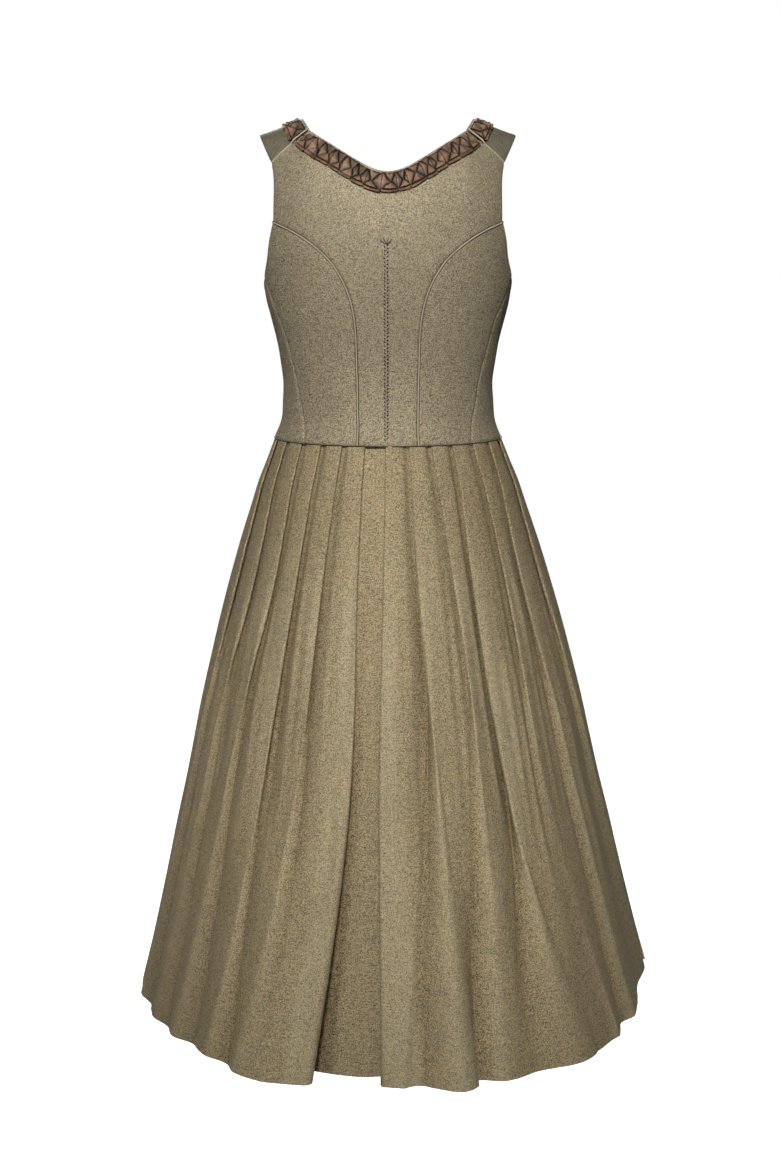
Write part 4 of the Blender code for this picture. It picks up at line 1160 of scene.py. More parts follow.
def pinched_pleat(s, v, chance):
    """Height of one box pleat of the trim whose sides are pinched together, and the light and shade
    painted on it. s runs from -0.5 to 0.5 along the band, v from 0 at its neck side to 1."""
    pinch_s, pinch_v, lip, tilt, turn_up, bow = chance
    s_here = s - pinch_s * (1 - np.abs(v - pinch_v))
    rise = np.where(v < pinch_v, (pinch_v - v) / pinch_v, (v - pinch_v) / (lip - pinch_v))
    rise = np.clip(rise, 0, 1)
    reach = 0.05 + (0.40 + bow * (v > pinch_v)) * rise
    inside = reach - np.abs(s_here)
    fold = np.abs(s_here) / np.maximum(reach, 0.03)
    flap = 0.30 + 0.62 * rise - 0.22 * (1 - fold) * rise + tilt * s_here * rise * 1.6
    roof = 0.10 + 0.55 * np.clip((np.abs(s_here) - reach) / np.maximum(0.5 - reach, 0.05), 0, 1)
    roof = roof * (1 - 0.75 * rise) + 0.10
    height = np.where(inside > 0, flap, roof)
    height = height * eased(v / 0.14)
    strip = v > lip
    height = np.where(strip, 0.34 + turn_up * (v - lip) * 2.0 + 0.20 * np.abs(s), height)
    slit = eased((np.abs(inside) + np.where(inside > 0, 0.01, -0.02)) / 0.10)
    slit = np.where(strip, eased((v - lip - 0.012) / 0.035), slit)
    # Painted light and shade: darker where the pleat lies low, nearly black in its slits, darker on the
    # upper flap, lighter on one side of a tilted flap, nearly black at the pleat's ends.
    light = (0.20 + 1.0 * height) * (0.02 + 0.98 * slit)
    light = light * np.where((v < pinch_v) & (inside > 0), 0.72, 1.0)
    light = light * np.where((s_here > 0) & (v > pinch_v), 1.0 + tilt * 0.5, 1.0 - tilt * 0.3)
    light = light * (0.05 + 0.95 * eased((0.5 - np.abs(s)) / 0.05))
    return height * (0.35 + 0.65 * slit), light


# Ranges of each pleat's chances: where its sides are pinched, along and across the band;
# where its lip starts; how its flap tilts, its lip turns up and its sides bow.
PLEAT_CHANCES = (
    (-0.20, 0.20), (0.36, 0.62), (0.80, 0.90), (-0.9, 0.9), (-0.4, 0.6), (-0.12, 0.08),
)
LIP_SHIFT = (-0.0005, 0.0007)
LIP_SKEW = (-0.0016, 0.0016)


def trim(name, run):
    """A band of brown silk in box pleats, each pinched in its middle, with light and shade painted on its
    folds.
    """
    pitch, rise = sizes().trim_pitch, sizes().trim_rise
    chances = np.random.default_rng(SEED + len(name) * 3 + sum(map(ord, name)))
    lengths, places = neck_places(run, TRIM_EDGE + TRIM_WIDTH / 2)
    count = max(2, round(lengths[-1] / pitch))
    borders = np.linspace(0.004, 0.996, count + 1) * lengths[-1]
    borders[1:-1] += chances.uniform(-0.16, 0.16, count - 1) * pitch
    along_pleat = np.concatenate([[-0.4995], np.linspace(-0.47, 0.47, 25), [0.4995]])
    across_band = np.unique(np.concatenate([np.linspace(0, 1, 23), [0.765, 0.785, 0.805, 0.825]]))
    outer, inner, cloth = [], [], []
    for n in range(count):
        chance = [chances.uniform(*limits) for limits in PLEAT_CHANCES]
        shift, skew = chances.uniform(*LIP_SHIFT), chances.uniform(*LIP_SKEW)
        for s in along_pleat:
            at = borders[n] + (borders[n + 1] - borders[n]) * (s + 0.5)
            k = int(np.clip(np.searchsorted(lengths, at, "right") - 1, 0, len(places) - 2))
            low, high = places[k], places[k + 1]
            low = high if low[1] != high[1] else low
            span = max(lengths[k + 1] - lengths[k], 1e-9)
            share = low[2] + (high[2] - low[2]) * float(np.clip((at - lengths[k]) / span, 0, 1))
            height, light = pinched_pleat(np.full_like(across_band, s), across_band, chance)
            distance = TRIM_EDGE + across_band * TRIM_WIDTH + (shift + skew * s) * across_band**3
            distance = distance - 0.0013 * eased((np.abs(s) - 0.42) / 0.08) * across_band**6
            distance = distance - (chance[0] * 0.003 + skew * 0.4 * s) * (1 - across_band) ** 3
            point, normal = neck_frame(low[0], share, low[1])(distance)
            base = 0.0009 + 0.0007 * eased((across_band - 0.86) / 0.14)
            base = base + 0.0004 * eased((0.1 - across_band) / 0.1)
            inner.append(point + normal * base[:, None])
            outer.append(point + normal * (base + 0.0006 + height * rise)[:, None])
            # The third cloth value carries the pleat's painted light and shade.
            cloth.append(np.stack([np.full_like(across_band, at), distance, light], -1))
    outer, inner, cloth = np.array(outer), np.array(inner), np.array(cloth)
    made = wall_mesh("ruched_" + name, outer, inner, cloth, "trim_silk")
    made.data.set_sharp_from_angle(angle=math.radians(TRIM_SHARP))
    declare(made, outer, name)


# ---------------------------------------------------------------- skirt

STEPS = 6  # of each bend of a fold and of each stretch between two folds


def skirt_base(degrees, level):
    """The plain skirt at angles and a level from 0 at the waist to 1 at the hem, with the way
    out of it and the length of one radian there."""
    down = level * SKIRT_DROP
    width = through(SKIRT, down, 1)
    depth = width * through(SKIRT, down, 2)
    sine, cosine = np.sin(np.radians(degrees)), np.cos(np.radians(degrees))
    flat = np.zeros(np.shape(degrees))
    fall = through(HEM_FALL, (np.asarray(degrees) + 180) % 360 - 180) * level**2
    height = -down - fall - SHOULDER_HEIGHT - SEAM_GAP / 2
    point = np.stack([width * sine - SKIRT_LEAN * down, depth * cosine, height], -1)
    ring = np.stack([width * cosine, -depth * sine, flat], -1)
    length = np.linalg.norm(ring, axis=-1)
    out = np.stack([-ring[..., 1], ring[..., 0], flat], -1) / length[..., None]
    return point, out, length


def waist_angle(distance):
    """The angle from the centre at which the waist seam is this long."""
    steps = np.radians(np.linspace(0, 100, 401))
    width, depth = SKIRT[0][1], SKIRT[0][1] * SKIRT[0][2]
    lengths = lengths_along(np.stack([width * np.sin(steps), depth * np.cos(steps)], -1))
    return math.copysign(math.degrees(np.interp(abs(distance), lengths, steps)), distance)


def pleat_at(row, level):
    """Angle of a pleat's edge, its cover, and how far edge and underlay stand out, in metres."""
    pleat = dict(zip(PLEAT_COLUMNS, row))
    start = waist_angle(pleat["place"] * PLEAT_PITCH)
    turns = ((0.0, start), (0.2, pleat["turn_fifth"]), (0.5, pleat["turn_half"]), (1.0, pleat["turn_hem"]))
    quarter, half, hem = (pleat["cover_" + k] / 1000 for k in ("quarter", "half", "hem"))
    covers = ((0.0, WAIST_OVERLAP), (0.25, quarter), (0.5, half), (1.0, hem))
    edges = ((0.0, 0.0), (0.25, 0.0), (0.5, 0.0), (1.0, pleat["edge_hem"] / 1000))
    unders = (
        (0.0, -WAIST_LAYERS), (0.25, -pleat["depth_quarter"] / 1000),
        (0.5, -pleat["depth_half"] / 1000), (1.0, pleat["under_hem"] / 1000),
    )
    return [float(through(rows, level)) for rows in (turns, covers, edges, unders)]


def folded_share(cover):
    """1 for a fold that lies flat on its underlay, 0 for one that has fallen open."""
    return float(eased((cover + 0.020) / 0.030))


def mixed(first, second, share):
    return tuple(a + (b - a) * share for a, b in zip(first, second))


def pleat_points(row, level):
    """Angle and outward place of the points round one pleat, from its underlay to its edge:
    two tight bends where it is folded and a soft step where it has fallen open."""
    degrees, cover, edge, under = pleat_at(row, level)
    length = float(skirt_base(degrees, level)[2])
    folded = folded_share(cover)
    rise = edge - under
    radius = FOLD_RADIUS + (SOFT_RADIUS - FOLD_RADIUS) * level**1.5
    radius = min(radius, max(rise / (2.7 + 1.9 * folded), FOLD_RADIUS))
    spread = 45 + 45 * folded
    run = max(-cover, LEAST_RUN)
    share = np.linspace(-1, 1, STEPS + 1)
    found = []
    for place, out, axis, way in (
        (cover, under, -90 + 90 * folded, 1),
        (0.0, edge, 90 + 90 * folded, -1),
    ):
        swing = np.radians(axis + way * spread * share)
        bend = (place + radius * (np.cos(swing) - way * folded), out + radius * (np.sin(swing) + way))
        step = (min(place, 0.0) + OPEN_REACH * run * share, out + way * OPEN_BEND * rise * share**2)
        ring, stands = mixed(step, bend, folded)
        found += list(zip(degrees + np.degrees(ring / length), stands))
    return found


def between_pleats(here, following, row, level):
    """Two places between a pleat's edge and the next pleat, that keep the cloth there flat
    until just before the fold."""
    degrees, cover, _, _ = pleat_at(row, level)
    brink = degrees - math.degrees(BRINK / float(skirt_base(degrees, level)[2]))
    folded = folded_share(cover)
    high = (mixed(here, (degrees, 0), 0.62)[0], mixed(here, following, 0.12)[1])
    low = (brink, mixed(here, following, 0.88)[1])
    return [
        mixed(mixed(here, following, 0.33), high, folded),
        mixed(mixed(here, following, 0.67), low, folded),
    ]


def eased_through(points, steps):
    """A smooth run through points after the first and up to the last but one, which only
    give its direction."""
    points = np.array(points)
    found = []
    for k in range(1, len(points) - 2):
        p, q = points[k], points[k + 1]
        m, n = (q - points[k - 1]) / 2, (points[k + 2] - p) / 2
        found += [tuple(hermite(s, p, m, q, n)) for s in (np.arange(steps) + 1) / steps]
    return found


def skirt_row(pleats, start, end, level):
    """Angle and outward place of every column of one side of the skirt, from the centre out."""
    first = pleat_points(pleats[0], level)
    columns = list(start) + eased_through([start[0], start[-1], first[0], first[1]], STEPS * 3)[:-1]
    for n, row in enumerate(pleats):
        arcs = pleat_points(row, level)
        columns += arcs
        if n < len(pleats) - 1:
            ahead = pleat_points(pleats[n + 1], level)
            a, b = between_pleats(arcs[-1], ahead[0], pleats[n + 1], level)
            columns += eased_through([arcs[-2], arcs[-1], a, b, ahead[0], ahead[1]], STEPS)[:-1]
        else:
            columns += eased_through([arcs[-2], arcs[-1], end[0], end[0]], STEPS * 3)[:-1]
    return columns + list(end)


CREASE_HEIGHT = 0.00027
CREASE_WAVES = 9
MEAN_RADIUS = 0.3  # of the hem
SKIRT_THICKNESS = 0.85  # as a share of the bodice's cloth
# How far a place of the skirt stands out over its surroundings, which its finish paints as light on ridges
# and shade in hollows.
CREST_HEIGHT = 0.0025  # a place that stands out this far is a full crest
CREST_REACH = 13  # of the surroundings, in millimetres
CREST_PAD = 30
LEVELS = np.concatenate([[0, 0.0012, 0.003, 0.006, 0.011], np.linspace(0.018, 1.0, 84)])


def fine_creases(degrees, level):
    """Soft uneven creases that run down the skirt, as far as they stand out in metres."""
    chances = np.random.default_rng(SEED)
    wave = np.zeros(np.shape(degrees))
    for _ in range(CREASE_WAVES):
        period, lean = chances.uniform(2.0, 6.0), chances.uniform(-1.2, 1.2)
        phase = chances.uniform(0, 6.28)
        pace, start = chances.uniform(2.0, 7.0), chances.uniform(0, 6.28)
        turns = np.round(360 / period)
        along_ring = np.radians(degrees) * turns + lean * np.sin(3 * level + start) + phase
        wave = wave + np.sin(along_ring) * np.sin(pace * level + start) * (period / 3.0)
    return wave * CREASE_HEIGHT * eased((level - 0.06) / 0.30) * (1 - 0.88 * eased((level - 0.42) / 0.36))


def painted_fold_shading(row, out):
    """How far each place of a row stands out over its surroundings, from 1 on a ridge to -1 in a hollow:
    the skirt's finish paints this as light on the ridges and shade in the hollows."""
    places = np.radians(np.unwrap(row[:, 0], period=360)) * MEAN_RADIUS
    order = np.argsort(places)
    even = np.arange(places.min(), places.max(), 0.001)
    level_out = np.interp(even, places[order], out[order])
    reach = np.exp(-((np.arange(-CREST_PAD, CREST_PAD + 1) / CREST_REACH) ** 2))
    padded = np.pad(level_out, CREST_PAD, mode="edge")
    around = np.convolve(padded, reach / reach.sum(), "valid")
    return np.clip((out - np.interp(places, even, around)) / CREST_HEIGHT, -1, 1)


def skirt_panel(name, node, rows_of, folds):
    """A length of the skirt in its pleats, with the folds that it takes as it hangs."""
    middle, outwards, raised = [], [], []
    for level in LEVELS:
        row = np.array(rows_of(level))
        base, way, length = skirt_base(row[:, 0], level)
        out = row[:, 1].copy()
        for fold in folds:
            track = float(through(tuple(zip((0, 0.25, 0.5, 0.75, 1.0), fold[:5])), level))
            start, stop, high, reach = fold[5:]
            window = float(eased((level - start) / 0.18) * eased((stop - level) / 0.12))
            away = np.radians((row[:, 0] - track + 180) % 360 - 180) * length
            out += window * high / 1000 * np.exp(-((away * 1000 / reach) ** 2))
        out += fine_creases(row[:, 0], level)
        # Painted light and shade of the folds, faded in below the waist.
        raised.append(painted_fold_shading(row, out) * eased((level - 0.08) / 0.22))
        out += edge_roll(level * SKIRT_DROP, *WAIST_ROLL)
        middle.append(base + way * out[:, None])
        outwards.append(way)
    middle, outwards, raised = (np.array(found)[::-1] for found in (middle, outwards, raised))
    normals = grid_normals(middle, outwards)
    thickness = sizes().cloth * SKIRT_THICKNESS
    sheet_of(name, middle, normals, thickness, node, "skirt_linen", raised)


def gap_degrees(degrees, level):
    """Half a seam's gap, as an angle."""
    return math.degrees(SEAM_GAP / 2 / float(skirt_base(degrees, level)[2]))


def centre_cut(level):
    """The angle of the seam between the two back lengths, under the middle pleat."""
    degrees, cover, _, _ = pleat_at(BACK_RIGHT_PLEATS[0], level)
    return degrees + 0.45 * math.degrees(cover / float(skirt_base(degrees, level)[2]))


def side_cut(level):
    return (90 - gap_degrees(90, level), -0.001)


def left_row(level):
    under = pleat_at(BACK_RIGHT_PLEATS[0], level)[3]
    start = [(-centre_cut(level) + gap_degrees(0, level), under), (6.0, under)]
    return skirt_row(BACK_LEFT_PLEATS, start, [side_cut(level)], level)


def right_row(level):
    under = pleat_at(BACK_RIGHT_PLEATS[0], level)[3]
    start = [(centre_cut(level) + gap_degrees(0, level), under)]
    return [(-a, o) for a, o in skirt_row(BACK_RIGHT_PLEATS, start, [side_cut(level)], level)]


def front_row(level):
    middle = pleat_at(FRONT_PLEATS[0], level)[3] + 0.0005
    half = skirt_row(FRONT_PLEATS, [(0.2, middle), (1.2, middle)], [side_cut(level)], level)
    return [(180 + a, o) for a, o in half][::-1] + [(180.0, middle)] + [(180 - a, o) for a, o in half]


# ---------------------------------------------------------------- embroidery and stitches

EMBROIDERY_X = 0.0019  # it lies a little to the wearer's left of the centre back
EMBROIDERY_TOP = 0.2285
CROSS_PITCH = 0.0043
CROSS_WIDTH = 0.0030
FRONT_STITCH_X = 0.0055
LOWEST_BUTTON = 0.018
HOLE_WIDTH = 0.019
HOLE_STITCHES = 22
# The threads of the small fan over the column. Columns: place across and up of a thread's
# head from the fan's foot, and how far its middle bows up, in metres.
FAN_THREADS = (
    (-0.0062, 0.0050, -0.0012),
    (0.0060, 0.0052, -0.0012),
    (-0.0058, 0.0026, -0.0010),
    (0.0060, 0.0028, -0.0010),
    (-0.0026, 0.0060, -0.0004),
    (0.0030, 0.0062, -0.0004),
)


def on_body(x, height, lift, front):
    """Points this far out from the bodice's cloth, with its normals."""
    x, height = np.broadcast_arrays(np.asarray(x, float), np.asarray(height, float))
    degrees = angle_of(x, height, front)
    point, normal = body(degrees, height), body_normal(degrees, height)
    if front:
        lift = lift + lap(x)
    return point + normal * (np.asarray(lift) + sizes().cloth / 2)[..., None], normal


def laid_thread(start, end, lift, radius, front=False, steps=4, bow=0.0):
    """One stitch from (x, height) to (x, height), that dips into the cloth at both ends."""
    s = np.linspace(0, 1, steps + 1)
    arch = lift * np.sin(np.pi * s) ** 0.6 - radius * 0.3
    x, height = start[0] + (end[0] - start[0]) * s, start[1] + (end[1] - start[1]) * s
    points, normals = on_body(x, height + bow * np.sin(np.pi * s), arch, front)
    return tube(points, normals, radius, 5)


def embroidery():
    """The column of crossed stitches down the centre back, under its small fan: pale threads that cross
    between near-black knots, which paint the shade of the needle holes there."""
    radius = sizes().thread_radius
    knots, crosses = [], []
    left, right = EMBROIDERY_X - CROSS_WIDTH / 2, EMBROIDERY_X + CROSS_WIDTH / 2
    for n in range(int((EMBROIDERY_TOP - 0.003) / CROSS_PITCH)):
        top = EMBROIDERY_TOP - n * CROSS_PITCH
        middle, low = top - CROSS_PITCH / 2, top - CROSS_PITCH
        crosses.append(laid_thread((left, top), (right, middle), 0.0004, radius))
        crosses.append(laid_thread((right, middle), (left, low), 0.0004, radius))
        # Near-black knots at the crossings paint the shade of the needle holes there.
        for x, height in ((left, top), (right, middle)):
            inwards = 0.0006 if x == left else -0.0006
            start, end = (x - inwards, height + 0.0005), (x + inwards, height - 0.0006)
            knots.append(laid_thread(start, end, 0.0008, radius * 2.0, steps=3))
    foot = (EMBROIDERY_X, EMBROIDERY_TOP + 0.0012)
    for across, up, bow in FAN_THREADS:
        head = (foot[0] + across, foot[1] + up)
        knots.append(laid_thread(foot, head, 0.0005, radius * 0.85, steps=8, bow=bow))
    joined("embroidery_knots", knots, "embroidery_thread")
    joined("embroidery_crosses", crosses, "cord_linen")


def stitching():
    """The running stitches along the front's edge and the stitches round its buttonholes."""
    length, radius = sizes().stitch, sizes().stitch_radius
    threads = []
    for height in np.arange(0.006, 0.226, length * 1.5):
        start, end = (FRONT_STITCH_X, height), (FRONT_STITCH_X, height + length)
        threads.append(laid_thread(start, end, 0.0002, radius, True, 2))
    low = LOWEST_BUTTON
    high = FRONT_NECK[-1][1] - TRIM_EDGE - TRIM_WIDTH - 0.0072 - 0.003
    for n in range(BUTTON_COUNT):
        height = low + (high - low) * n / (BUTTON_COUNT - 1)
        for way in (-1, 1):
            for k in range(HOLE_STITCHES):
                x = HOLE_WIDTH * k / (HOLE_STITCHES - 1) - HOLE_WIDTH / 2
                start, end = (x, height + way * 0.0004), (x, height + way * 0.0017)
                threads.append(laid_thread(start, end, 0.0003, 0.0003, True, 2))
    joined("front_stitches", threads, "cord_linen")


# ---------------------------------------------------------------- buttons

BUTTON_THICKNESS = 0.0042
BUTTON_SIDES = 40
# The turned section. Columns: distance from the middle, height, as shares of the button's own.
BUTTON_PROFILE = (
    (0.0, 0.0), (0.70, 0.0), (0.86, 0.10), (0.97, 0.35), (1.0, 0.55), (0.97, 0.76), (0.90, 0.92),
    (0.82, 1.0), (0.74, 0.98), (0.66, 0.86), (0.60, 0.76), (0.50, 0.72), (0.30, 0.70), (0.0, 0.70),
)


def button(n):
    """A turned horn button with a sunk middle and a cross of thread."""
    low_corner, high_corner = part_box(f"button_{n}")
    middle = (low_corner + high_corner) / 2
    height = middle.z + SHOULDER_HEIGHT
    place, normal = on_body(0.0, height, 0.0, True)
    reach = (high_corner.x - low_corner.x) / 2
    thick = BUTTON_THICKNESS
    outer = max(
        float(np.dot(np.array((x, low_corner.y, middle.z)) - place, normal))
        for x in (low_corner.x, high_corner.x)
    )
    foot = place + normal * (outer - thick)
    sideways = np.array([1.0, 0.0, 0.0])
    upwards = np.cross(normal, sideways)
    sides = BUTTON_SIDES
    points, faces = [], []
    for radius, out in BUTTON_PROFILE:
        for k in range(sides):
            angle = 2 * math.pi * k / sides
            spoke = sideways * math.cos(angle) + upwards * math.sin(angle)
            points.append(foot + spoke * reach * radius + normal * thick * out)
    for ring in range(len(BUTTON_PROFILE) - 1):
        for k in range(sides):
            a, b = ring * sides + k, ring * sides + (k + 1) % sides
            faces.append([a, b, b + sides, a + sides])
    made = new_object(f"horn_button_{n}", points, faces, np.array(points), "horn")
    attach(made, "root")
    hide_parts(f"button_{n}")
    threads = []
    top = foot + normal * thick * 0.70
    for rise in (1, -1):
        t = np.linspace(0, 1, 7)[:, None]
        spoke = sideways * (2 * t - 1) + upwards * rise * (2 * t - 1)
        line = top + spoke * reach * 0.2 + normal * 0.0005 * np.sin(math.pi * t)
        threads.append(tube(line, np.repeat(normal[None], 7, 0), 0.0003, 6))
    joined(f"button_thread_{n}", threads, "cord_linen")


# ---------------------------------------------------------------- stage


# The round soft lights. Columns: name, the property with its power, place, aim, size, and
# the angle over which it spreads, in degrees.
LIGHTS = (
    ("key", "key", (0.30, 3.0, 1.7), (0, 0, -0.10), 0.7, 60),
    ("fill", "fill", (-1.3, 3.0, 0.2), (0, 0, -0.5), 1.6, 180),
    ("low_-1", "low", (-1.9, 2.3, -0.5), (-0.17, 0.1, -0.86), 0.6, 18),
    ("low_1", "low", (1.9, 2.3, -0.5), (0.17, 0.1, -0.86), 0.6, 18),
    ("front", "front", (0.4, -3.2, 1.4), (0, 0, -0.45), 1.4, 180),
)
CAMERA_PLACE = (-0.0036, 2.1, -0.100)
CAMERA_TILT = 78.2  # degrees
FLOOR_REACH = 30.0


def area_light(name, power, place, aim, size, spread):
    """A round soft light that the camera doesn't see."""
    light = bpy.data.lights.new(name, "AREA")
    light.shape, light.size, light.energy = "DISK", size, power
    light.spread = math.radians(spread)
    made = bpy.data.objects.new(name, light)
    bpy.context.scene.collection.objects.link(made)
    made.location = place
    made.rotation_euler = (Vector(aim) - Vector(place)).to_track_quat("-Z", "Y").to_euler()
    made.visible_camera = False


def white_world(ambient):
    """A world that the camera sees as white paper and that lights the dress a little."""
    world = bpy.data.worlds.new("paper_white")
    world.use_nodes = True
    tree = world.node_tree
    tree.nodes.clear()
    path = tree.nodes.new("ShaderNodeLightPath")
    seen, lit = tree.nodes.new("ShaderNodeBackground"), tree.nodes.new("ShaderNodeBackground")
    for light in (seen, lit):
        light.inputs["Color"].default_value = colour((1.0, 1.0, 1.0))
    seen.inputs["Strength"].default_value = 1.0
    lit.inputs["Strength"].default_value = ambient
    mix, out = tree.nodes.new("ShaderNodeMixShader"), tree.nodes.new("ShaderNodeOutputWorld")
    tree.links.new(path.outputs["Is Camera Ray"], mix.inputs[0])
    tree.links.new(lit.outputs[0], mix.inputs[1])
    tree.links.new(seen.outputs[0], mix.inputs[2])
    tree.links.new(mix.outputs[0], out.inputs[0])
    return world


def pale_floor():
    """Paper that the camera sees as plain white and that sends little light up."""
    pale = bpy.data.materials.new("pale_floor")
    pale.use_nodes = True
    tree = pale.node_tree
    shader = tree.nodes["Principled BSDF"]
    shader.inputs["Base Color"].default_value = colour((0.6, 0.6, 0.6))
    shader.inputs["Roughness"].default_value = 0.9
    shader.inputs["Specular IOR Level"].default_value = 0.0
    shader.inputs["Emission Strength"].default_value = 1.0
    path = tree.nodes.new("ShaderNodeLightPath")
    tree.links.new(path.outputs["Is Camera Ray"], shader.inputs["Emission Color"])
    return pale


def stage():
    scene = bpy.context.scene
    light = scene.dirndl_light
    scene.world = white_world(light.ambient)
    scene.view_settings.view_transform = "Standard"
    scene.view_settings.look = "None"
    camera_data = bpy.data.cameras.new("photograph")
    camera_data.lens = light.lens
    camera = bpy.data.objects.new("photograph", camera_data)
    camera.location = CAMERA_PLACE
    camera.rotation_euler = (math.radians(CAMERA_TILT), 0.0, math.pi)
    scene.collection.objects.link(camera)
    scene.camera = camera
    for name, power, place, aim, size, spread in LIGHTS:
        area_light(name, getattr(light, power), place, aim, size, spread)
    floor_mesh = bpy.data.meshes.new("floor")
    ways = ((-1, -1), (1, -1), (1, 1), (-1, 1))
    corners = [(x * FLOOR_REACH, y * FLOOR_REACH, light.floor) for x, y in ways]
    floor_mesh.from_pydata(corners, [], [(0, 1, 2, 3)])
    floor = bpy.data.objects.new("floor", floor_mesh)
    scene.collection.objects.link(floor)
    floor_mesh.materials.append(pale_floor())


# ---------------------------------------------------------------- the add-on


def length_property(name, description, default):
    return bpy.props.FloatProperty(
        name=name, description=description, default=default, precision=5, unit="LENGTH", subtype="DISTANCE"
    )


def share_property(name, description, default):
    return bpy.props.FloatProperty(
        name=name, description=description, default=default, min=0.0, max=1.0, subtype="FACTOR"
    )


def colour_property(name, description, default):
    return bpy.props.FloatVectorProperty(
        name=name, description=description, default=default, min=0.0, max=1.0, size=3, subtype="COLOR"
    )


def power_property(name, description, default):
    return bpy.props.FloatProperty(name=name, description=description, default=default, unit="POWER")


class DirndlSizes(bpy.types.PropertyGroup):
    """Sizes of the cloth, cords and stitches"""

    cloth: length_property("Cloth", "Thickness of the linen with its turned edges", 0.0012)
    thread: length_property("Thread", "Pitch of the linen's threads", 0.00062)
    twill: length_property("Twill rib", "Pitch of the yoke's slanting ribs", 0.0026)
    piping: length_property("Piping", "Radius of the piping in the princess seams", 0.00105)
    fine_cord: length_property("Fine cord", "Radius of the neck's and the yoke seams' cords", 0.00052)
    trim_pitch: length_property("Trim pleat", "Length of one pinched pleat", 0.0172)
    trim_rise: length_property("Trim rise", "Height of the pinched pleats over their ribbon", 0.0044)
    thread_radius: length_property("Embroidery thread", "Radius of the embroidery thread", 0.00044)
    stitch: length_property("Stitch", "Length of a running stitch", 0.0026)
    stitch_radius: length_property("Sewing thread", "Radius of the sewing thread", 0.00022)
    roughness: share_property("Roughness", "Roughness of the linen", 0.63)
    lustre: share_property("Lustre", "Share of the light that the linen sends back as a broad shine", 0.25)
    gloss: share_property("Gloss", "Specular level of the linen", 0.70)
    sheen: share_property("Sheen", "Sheen of the linen's fibres", 0.06)


class DirndlColours(bpy.types.PropertyGroup):
    """Colours of the threads, silk and horn"""

    linen_warm: colour_property("Bodice, warm", "Tan threads of the bodice", (0.335, 0.255, 0.138))
    linen_cool: colour_property("Bodice, cool", "Grey threads of the bodice", (0.250, 0.235, 0.181))
    skirt_warm: colour_property("Skirt, warm", "Tan threads of the skirt", (0.330, 0.236, 0.109))
    skirt_cool: colour_property("Skirt, cool", "Grey threads of the skirt", (0.245, 0.220, 0.148))
    yoke_warm: colour_property("Yoke, warm", "Olive threads of the yokes", (0.162, 0.132, 0.076))
    yoke_cool: colour_property("Yoke, cool", "Grey threads of the yokes", (0.118, 0.114, 0.087))
    cord: colour_property("Cords", "Linen of the fine cords", (0.36, 0.30, 0.20))
    # The piping's linen, made lighter than the bodice's as a painted highlight on its round top.
    piping: colour_property("Piping", "Linen of the piping", (0.330, 0.275, 0.180))
    # Painted shadow of the sunken seams, on the near-black tubes beside the cords and round the waist.
    ditch: colour_property("Ditches", "Shaded thread beside the cords", (0.016, 0.012, 0.007))
    # The trim's lit silk, and its painted shade, nearly black, down in the slits.
    trim_light: colour_property("Trim, light", "Silk on the raised folds", (0.265, 0.160, 0.098))
    trim_slit_shade: colour_property("Trim, dark", "Silk down in the slits", (0.006, 0.003, 0.002))
    embroidery: colour_property("Embroidery", "Grey-blue embroidery thread", (0.012, 0.014, 0.017))
    horn: colour_property("Horn", "Dark horn of the buttons", (0.060, 0.036, 0.022))


class DirndlLight(bpy.types.PropertyGroup):
    """Lights, lens and floor of the stage"""

    lens: bpy.props.FloatProperty(
        name="Lens", description="Focal length", default=53.4, subtype="DISTANCE_CAMERA"
    )
    key: power_property("Key", "Power of the key light", 15.8)
    fill: power_property("Fill", "Power of the fill light", 3.0)
    low: power_property("Low", "Power of the two low lights", 0.27)
    front: power_property("Front", "Power of the light on the front", 75.0)
    ambient: share_property("Ambient", "Light from all round", 0.025)
    floor: length_property("Floor", "Height of the pale floor", -1.9)


class DIRNDL_OT_bodice(bpy.types.Operator):
    """Make the linen panels of the bodice, back and front"""

    bl_idname = "dirndl.bodice"
    bl_label = "Bodice"

    def execute(self, context):
        back_centre()
        for name, side in SIDES:
            back_side(name, side)
            side_front(name, side)
            front(name, side)
        return {"FINISHED"}


class DIRNDL_OT_yokes(bpy.types.Operator):
    """Make the grey-olive shoulder yokes"""

    bl_idname = "dirndl.yokes"
    bl_label = "Yokes"

    def execute(self, context):
        for name, side in SIDES:
            yoke(name, side)
        return {"FINISHED"}


class DIRNDL_OT_cords(bpy.types.Operator):
    """Make the piping, the yoke seams' double cords and the neck's rolled edge"""

    bl_idname = "dirndl.cords"
    bl_label = "Piping and cords"

    def execute(self, context):
        for name, side in SIDES:
            for front_side in (False, True):
                piping(name, side, front_side)
                yoke_cord(name, side, front_side)
        neck_edge()
        waist_seam()
        return {"FINISHED"}


class DIRNDL_OT_trim(bpy.types.Operator):
    """Make the ruched silk trim of the neck"""

    bl_idname = "dirndl.trim"
    bl_label = "Ruched trim"

    def execute(self, context):
        for name, run in NECK_RUNS.items():
            trim(name, run)
        return {"FINISHED"}


class DIRNDL_OT_skirt(bpy.types.Operator):
    """Make the pleated skirt in its three lengths"""

    bl_idname = "dirndl.skirt"
    bl_label = "Pleated skirt"

    def execute(self, context):
        skirt_panel("skirt_left", "skirt_back_left", left_row, BACK_FOLDS)
        skirt_panel("skirt_right", "skirt_back_right", right_row, BACK_FOLDS)
        skirt_panel("skirt_ahead", "skirt_front", front_row, FRONT_FOLDS)
        return {"FINISHED"}


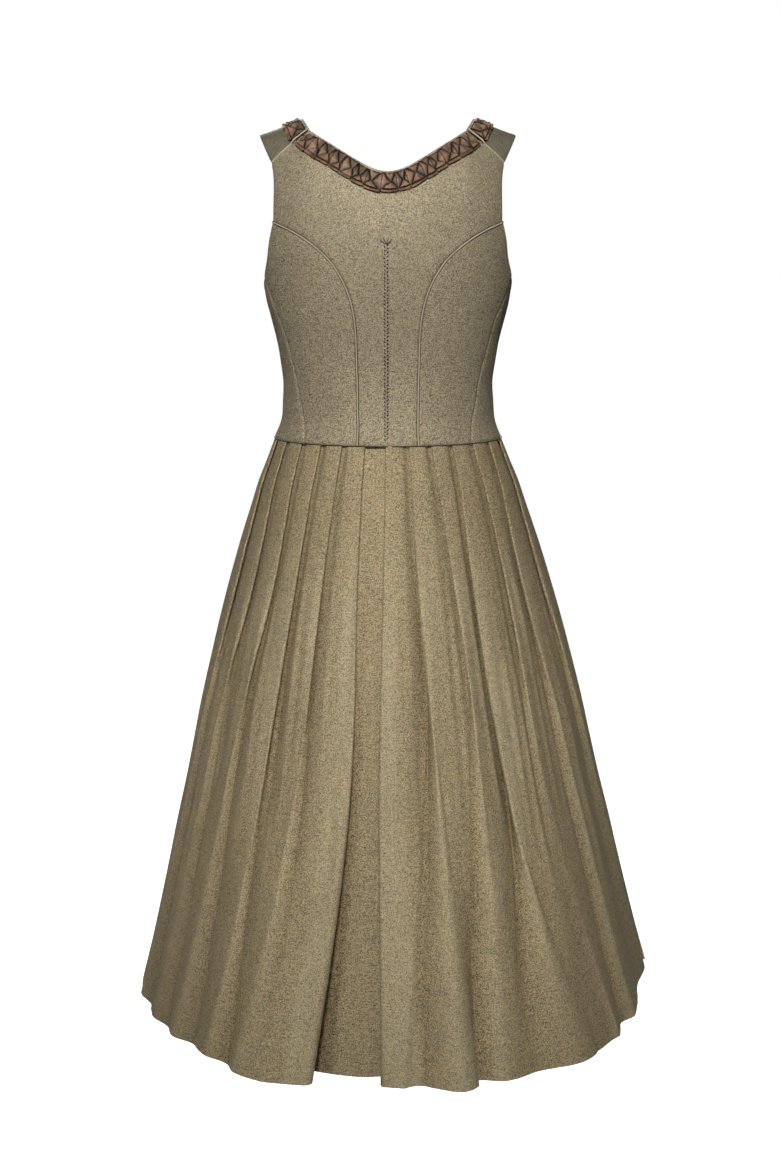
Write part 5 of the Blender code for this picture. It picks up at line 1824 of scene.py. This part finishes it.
class DIRNDL_OT_stitches(bpy.types.Operator):
    """Sew the embroidery of the back and the stitches of the front"""

    bl_idname = "dirndl.stitches"
    bl_label = "Embroidery and stitches"

    def execute(self, context):
        embroidery()
        stitching()
        return {"FINISHED"}


class DIRNDL_OT_buttons(bpy.types.Operator):
    """Sew the horn buttons on the front"""

    bl_idname = "dirndl.buttons"
    bl_label = "Buttons"

    def execute(self, context):
        for n in range(1, BUTTON_COUNT + 1):
            button(n)
        return {"FINISHED"}


class DIRNDL_OT_stage(bpy.types.Operator):
    """Set the floor, the soft lights and the camera"""

    bl_idname = "dirndl.stage"
    bl_label = "Stage"

    def execute(self, context):
        stage()
        return {"FINISHED"}


OPERATORS = (
    DIRNDL_OT_bodice,
    DIRNDL_OT_yokes,
    DIRNDL_OT_cords,
    DIRNDL_OT_trim,
    DIRNDL_OT_skirt,
    DIRNDL_OT_stitches,
    DIRNDL_OT_buttons,
    DIRNDL_OT_stage,
)


class DIRNDL_PT_panel(bpy.types.Panel):
    """The dirndl's sizes, colours and pieces"""

    bl_label = "Linen Dirndl"
    bl_space_type = "VIEW_3D"
    bl_region_type = "UI"
    bl_category = "Dirndl"

    def draw(self, context):
        scene = context.scene
        for group in (scene.dirndl_sizes, scene.dirndl_colours, scene.dirndl_light):
            box = self.layout.box()
            for name in group.__annotations__:
                box.prop(group, name)
        for operator in OPERATORS:
            self.layout.operator(operator.bl_idname)


CLASSES = (DirndlSizes, DirndlColours, DirndlLight, *OPERATORS, DIRNDL_PT_panel)


def register():
    for made in CLASSES:
        bpy.utils.register_class(made)
    bpy.types.Scene.dirndl_sizes = bpy.props.PointerProperty(type=DirndlSizes)
    bpy.types.Scene.dirndl_colours = bpy.props.PointerProperty(type=DirndlColours)
    bpy.types.Scene.dirndl_light = bpy.props.PointerProperty(type=DirndlLight)


def unregister():
    for name in ("dirndl_sizes", "dirndl_colours", "dirndl_light"):
        delattr(bpy.types.Scene, name)
    for made in reversed(CLASSES):
        bpy.utils.unregister_class(made)


def main():
    register()
    for name in ("bodice", "yokes", "cords", "trim", "skirt", "stitches", "buttons", "stage"):
        getattr(bpy.ops.dirndl, name)()


if __name__ == "__main__":
    main()
